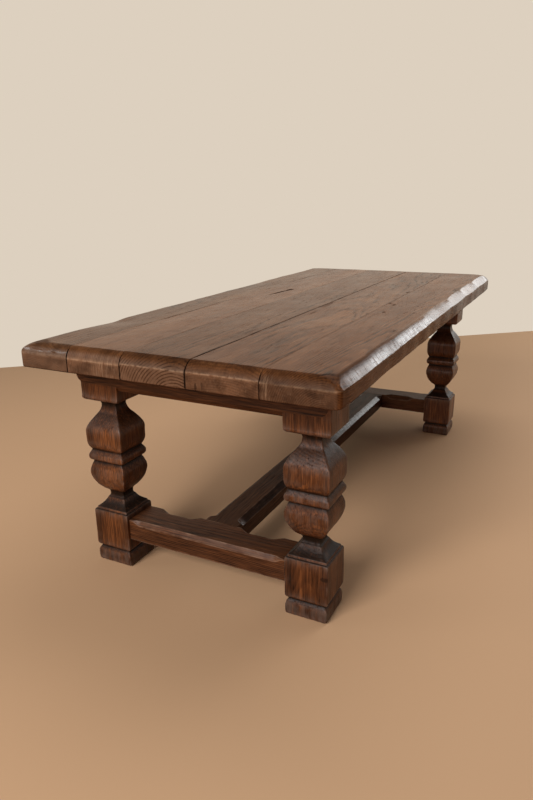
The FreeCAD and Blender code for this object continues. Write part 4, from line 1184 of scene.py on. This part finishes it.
# CAD nodes that keep their own solids
BEARERS = ("bearer_left", "bearer_right")
STRETCHER_PEGS = ("stretcher_pegs_left", "stretcher_pegs_right", "centre_stretcher_pegs")
BEARER_PEGS = ("bearer_pegs_left", "bearer_pegs_right")
DOWELS = ("leg_dowels_left", "leg_dowels_right")


# Build

def bevelled(node, width):
    """Breaks the sharp arrises of a CAD piece."""
    weld = node.modifiers.new("weld", "WELD")
    weld.merge_threshold = 1e-5
    bevel = node.modifiers.new("bevel", "BEVEL")
    bevel.width = width
    bevel.segments = 3
    bevel.limit_method = "ANGLE"
    bevel.angle_limit = math.radians(40)
    bevel.harden_normals = True


def dress(node_names, material):
    """Gives CAD nodes a material."""
    for node_name in node_names:
        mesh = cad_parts[node_name].data
        mesh.materials.clear()
        mesh.materials.append(material)


for plank_number in PLANKS:
    tone, warm, heart, lean = PLANK_WOOD[plank_number]
    plank_wood = Oak(
        f"plank_oak_{plank_number}", "x", heart, lean, shade(TOP_TONES, tone, warm), plank_number * 3.7,
        polish=0.22, dulling=1.0, relief=0.22, streaks=0.7, **PLANK_LOOK[plank_number],
        scrapes=PLANK_SCRAPES.get(plank_number, ()), marks_and_shadows=PLANK_MARKS.get(plank_number, ()),
    )
    Plank(plank_number).build(plank_wood.material)
for leg_index, (leg_name, (heart, lean)) in enumerate(LEG_WOOD.items()):
    leg_tone_and_light, leg_sheen = LEG_TONE_LIGHT_AND_SHEEN[leg_name]
    # The right legs' tone holds painted light
    leg_wood = Oak(
        f"leg_oak_{leg_index}", "z", heart, lean, shade(LEG_TONES, leg_tone_and_light), leg_index * 5.3 + 1.9,
        ring=6 * MM, polish=0.33, figure=0.45, streaks=0.9, sheen=leg_sheen, dulling=0.3,
        marks_and_shadows=LEG_MARKS_AND_SHADOWS.get(leg_name, ()),
    )
    leg(leg_name, leg_wood.material)
end_wood = Oak("end_rail_oak", "y", (-0.90, 0.02), (0.01, 0.012), FRAME_TONES, 8.8)
for end_side in ("left", "right"):
    end_stretcher(end_side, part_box("centre_stretcher")[1].y, end_wood.material)
centre_wood = Oak(
    "centre_rail_oak", "x", (0.03, 0.06), (0.004, 0.010), shade(FRAME_TONES, 0.55), 6.1,
    sheen=0.06, dulling=0.9,
)
centre_stretcher(centre_wood.material)
# The bearers' tones are darkened, a little for darker wood and mostly as a painted shadow of the top's
# overhang
bearer_wood_painted_shadow = Oak(
    "bearer_oak_painted_shadow", "y", (-0.80, 0.55), (0.008, 0.01), shade(FRAME_TONES, 0.66), 4.4, polish=0.42,
)
dress(BEARERS, bearer_wood_painted_shadow.material)
for bearer_name in BEARERS:
    bevelled(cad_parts[bearer_name], 1.6 * MM)
for peg_name, grain, peg_tones, peg_seed, peg_ring, peg_nodes in (
    ("peg_oak", "x", PEG_TONES, 2.2, 2.5 * MM, STRETCHER_PEGS),
    ("dark_peg_oak", "x", shade(FRAME_TONES, 0.9), 2.2, 5.5 * MM, BEARER_PEGS),
    ("dowel_oak", "z", PEG_TONES, 2.9, 2.5 * MM, DOWELS),
):
    peg_wood = Oak(peg_name, grain, (0.2, 0.3), (0.0, 0.0), peg_tones, peg_seed, peg_ring, polish=0.45)
    dress(peg_nodes, peg_wood.material)
tongue_wood = Oak("tongue_oak", "x", (0.1, 0.5), (0.01, 0.0), shade(TOP_TONES, 0.8), 9.5)
dress([f"plank_tongue_{number}" for number in range(1, 5)], tongue_wood.material)
dress(("top_screws_left", "top_screws_right"), steel())


# Stage

WALL = rgb(221, 208, 191)
FLOOR = rgb(214, 171, 132)
AMBIENT = 0.056
DAYLIGHT = (0.92, 0.97, 1.0)
# Two points of the line where the floor meets the wall
FLOOR_EDGE = (Vector((0.80, 2.70, 0)), Vector((3.59, -0.52, 0)))
FLOOR_REACH = 9.0


def place_camera():
    """Camera at the photograph's viewpoint."""
    turned = Matrix.Rotation(CAMERA_YAW - math.pi / 2, 4, "Z")
    turned = turned @ Matrix.Rotation(math.pi / 2 - CAMERA_PITCH, 4, "X")
    turned = turned @ Matrix.Rotation(CAMERA_ROLL, 4, "Z")
    turned.translation = CAMERA_PLACE
    camera = bpy.data.objects.new("camera", bpy.data.cameras.new("camera"))
    scene.collection.objects.link(camera)
    camera.data.sensor_width = SENSOR
    camera.data.lens = FOCAL_PIXELS / IMAGE_HEIGHT * SENSOR
    camera.matrix_world = turned
    scene.camera = camera


def area_light(name, place, aim, width, height, power, colour=(1, 1, 1)):
    """Soft rectangular lamp turned towards a point."""
    lamp = bpy.data.lights.new(name, "AREA")
    lamp.color = colour
    lamp.shape = "RECTANGLE"
    lamp.size, lamp.size_y = width, height
    lamp.energy = power
    item = bpy.data.objects.new(name, lamp)
    scene.collection.objects.link(item)
    item.location = place
    item.rotation_euler = (Vector(aim) - Vector(place)).to_track_quat("-Z", "Y").to_euler()


def floor():
    """Plain pale floor that ends where the photograph's wall begins."""
    run = (FLOOR_EDGE[1] - FLOOR_EDGE[0]).normalized()
    towards = Vector((run.y, -run.x, 0))
    start = FLOOR_EDGE[0] - run * FLOOR_REACH
    stop = FLOOR_EDGE[1] + run * FLOOR_REACH
    corners = [start, stop, stop + towards * FLOOR_REACH, start + towards * FLOOR_REACH]
    mesh = bpy.data.meshes.new("floor")
    mesh.from_pydata(corners, [], [(0, 1, 2, 3)])
    item = bpy.data.objects.new("floor", mesh)
    scene.collection.objects.link(item)
    graph = Graph("pale_floor")
    graph.set("Base Color", FLOOR)
    graph.set("Roughness", 0.6)
    graph.set("Specular IOR Level", 0.1)
    mesh.materials.append(graph.material)


def studio_world():
    """Wall colour for the camera and for reflections, and a faint even light for everything else."""
    world = bpy.data.worlds.new("studio")
    scene.world = world
    world.use_nodes = True
    tree = world.node_tree
    wall = tree.nodes["Background"]
    wall.inputs["Color"].default_value = WALL
    wall.inputs["Strength"].default_value = 1.0
    ambient = tree.nodes.new("ShaderNodeBackground")
    ambient.inputs["Color"].default_value = (1, 1, 1, 1)
    ambient.inputs["Strength"].default_value = AMBIENT
    rays = tree.nodes.new("ShaderNodeLightPath")
    seen = rays.outputs["Is Camera Ray"]
    for kind in ("Is Glossy Ray", "Is Transmission Ray"):
        either = tree.nodes.new("ShaderNodeMath")
        either.operation = "MAXIMUM"
        tree.links.new(seen, either.inputs[0])
        tree.links.new(rays.outputs[kind], either.inputs[1])
        seen = either.outputs[0]
    blend = tree.nodes.new("ShaderNodeMixShader")
    tree.links.new(seen, blend.inputs[0])
    tree.links.new(ambient.outputs[0], blend.inputs[1])
    tree.links.new(wall.outputs[0], blend.inputs[2])
    tree.links.new(blend.outputs[0], tree.nodes["World Output"].inputs["Surface"])


place_camera()
floor()
studio_world()
# Lamps: place, point they are turned to, width, height and power in watts
area_light("key", (-6.0, 0.9, 3.6), (-0.4, 0.0, 0.5), 2.8, 2.0, 285)
area_light("front", (-6.5, 0.4, 0.9), (0.0, 0.0, 0.4), 2.4, 1.0, 48)
area_light("overhead", (0.9, -0.4, 3.6), (0.4, -0.2, 0.0), 3.2, 2.2, 52)
area_light("low_window", (4.6, -1.3, 1.4), (0.0, -0.48, 0.74), 1.8, 1.0, 9, DAYLIGHT)
area_light("high_window", (4.4, -2.5, 2.15), (0.0, -0.48, 0.74), 2.4, 1.5, 38, DAYLIGHT)
area_light("left_window", (-3.0, 4.0, 2.6), (-1.05, 0.4, 0.74), 1.6, 1.2, 18, DAYLIGHT)
area_light("side", (0.2, -4.4, 3.2), (-0.2, -0.4, 0.4), 2.6, 1.8, 1.0)
scene.view_settings.view_transform = "Standard"
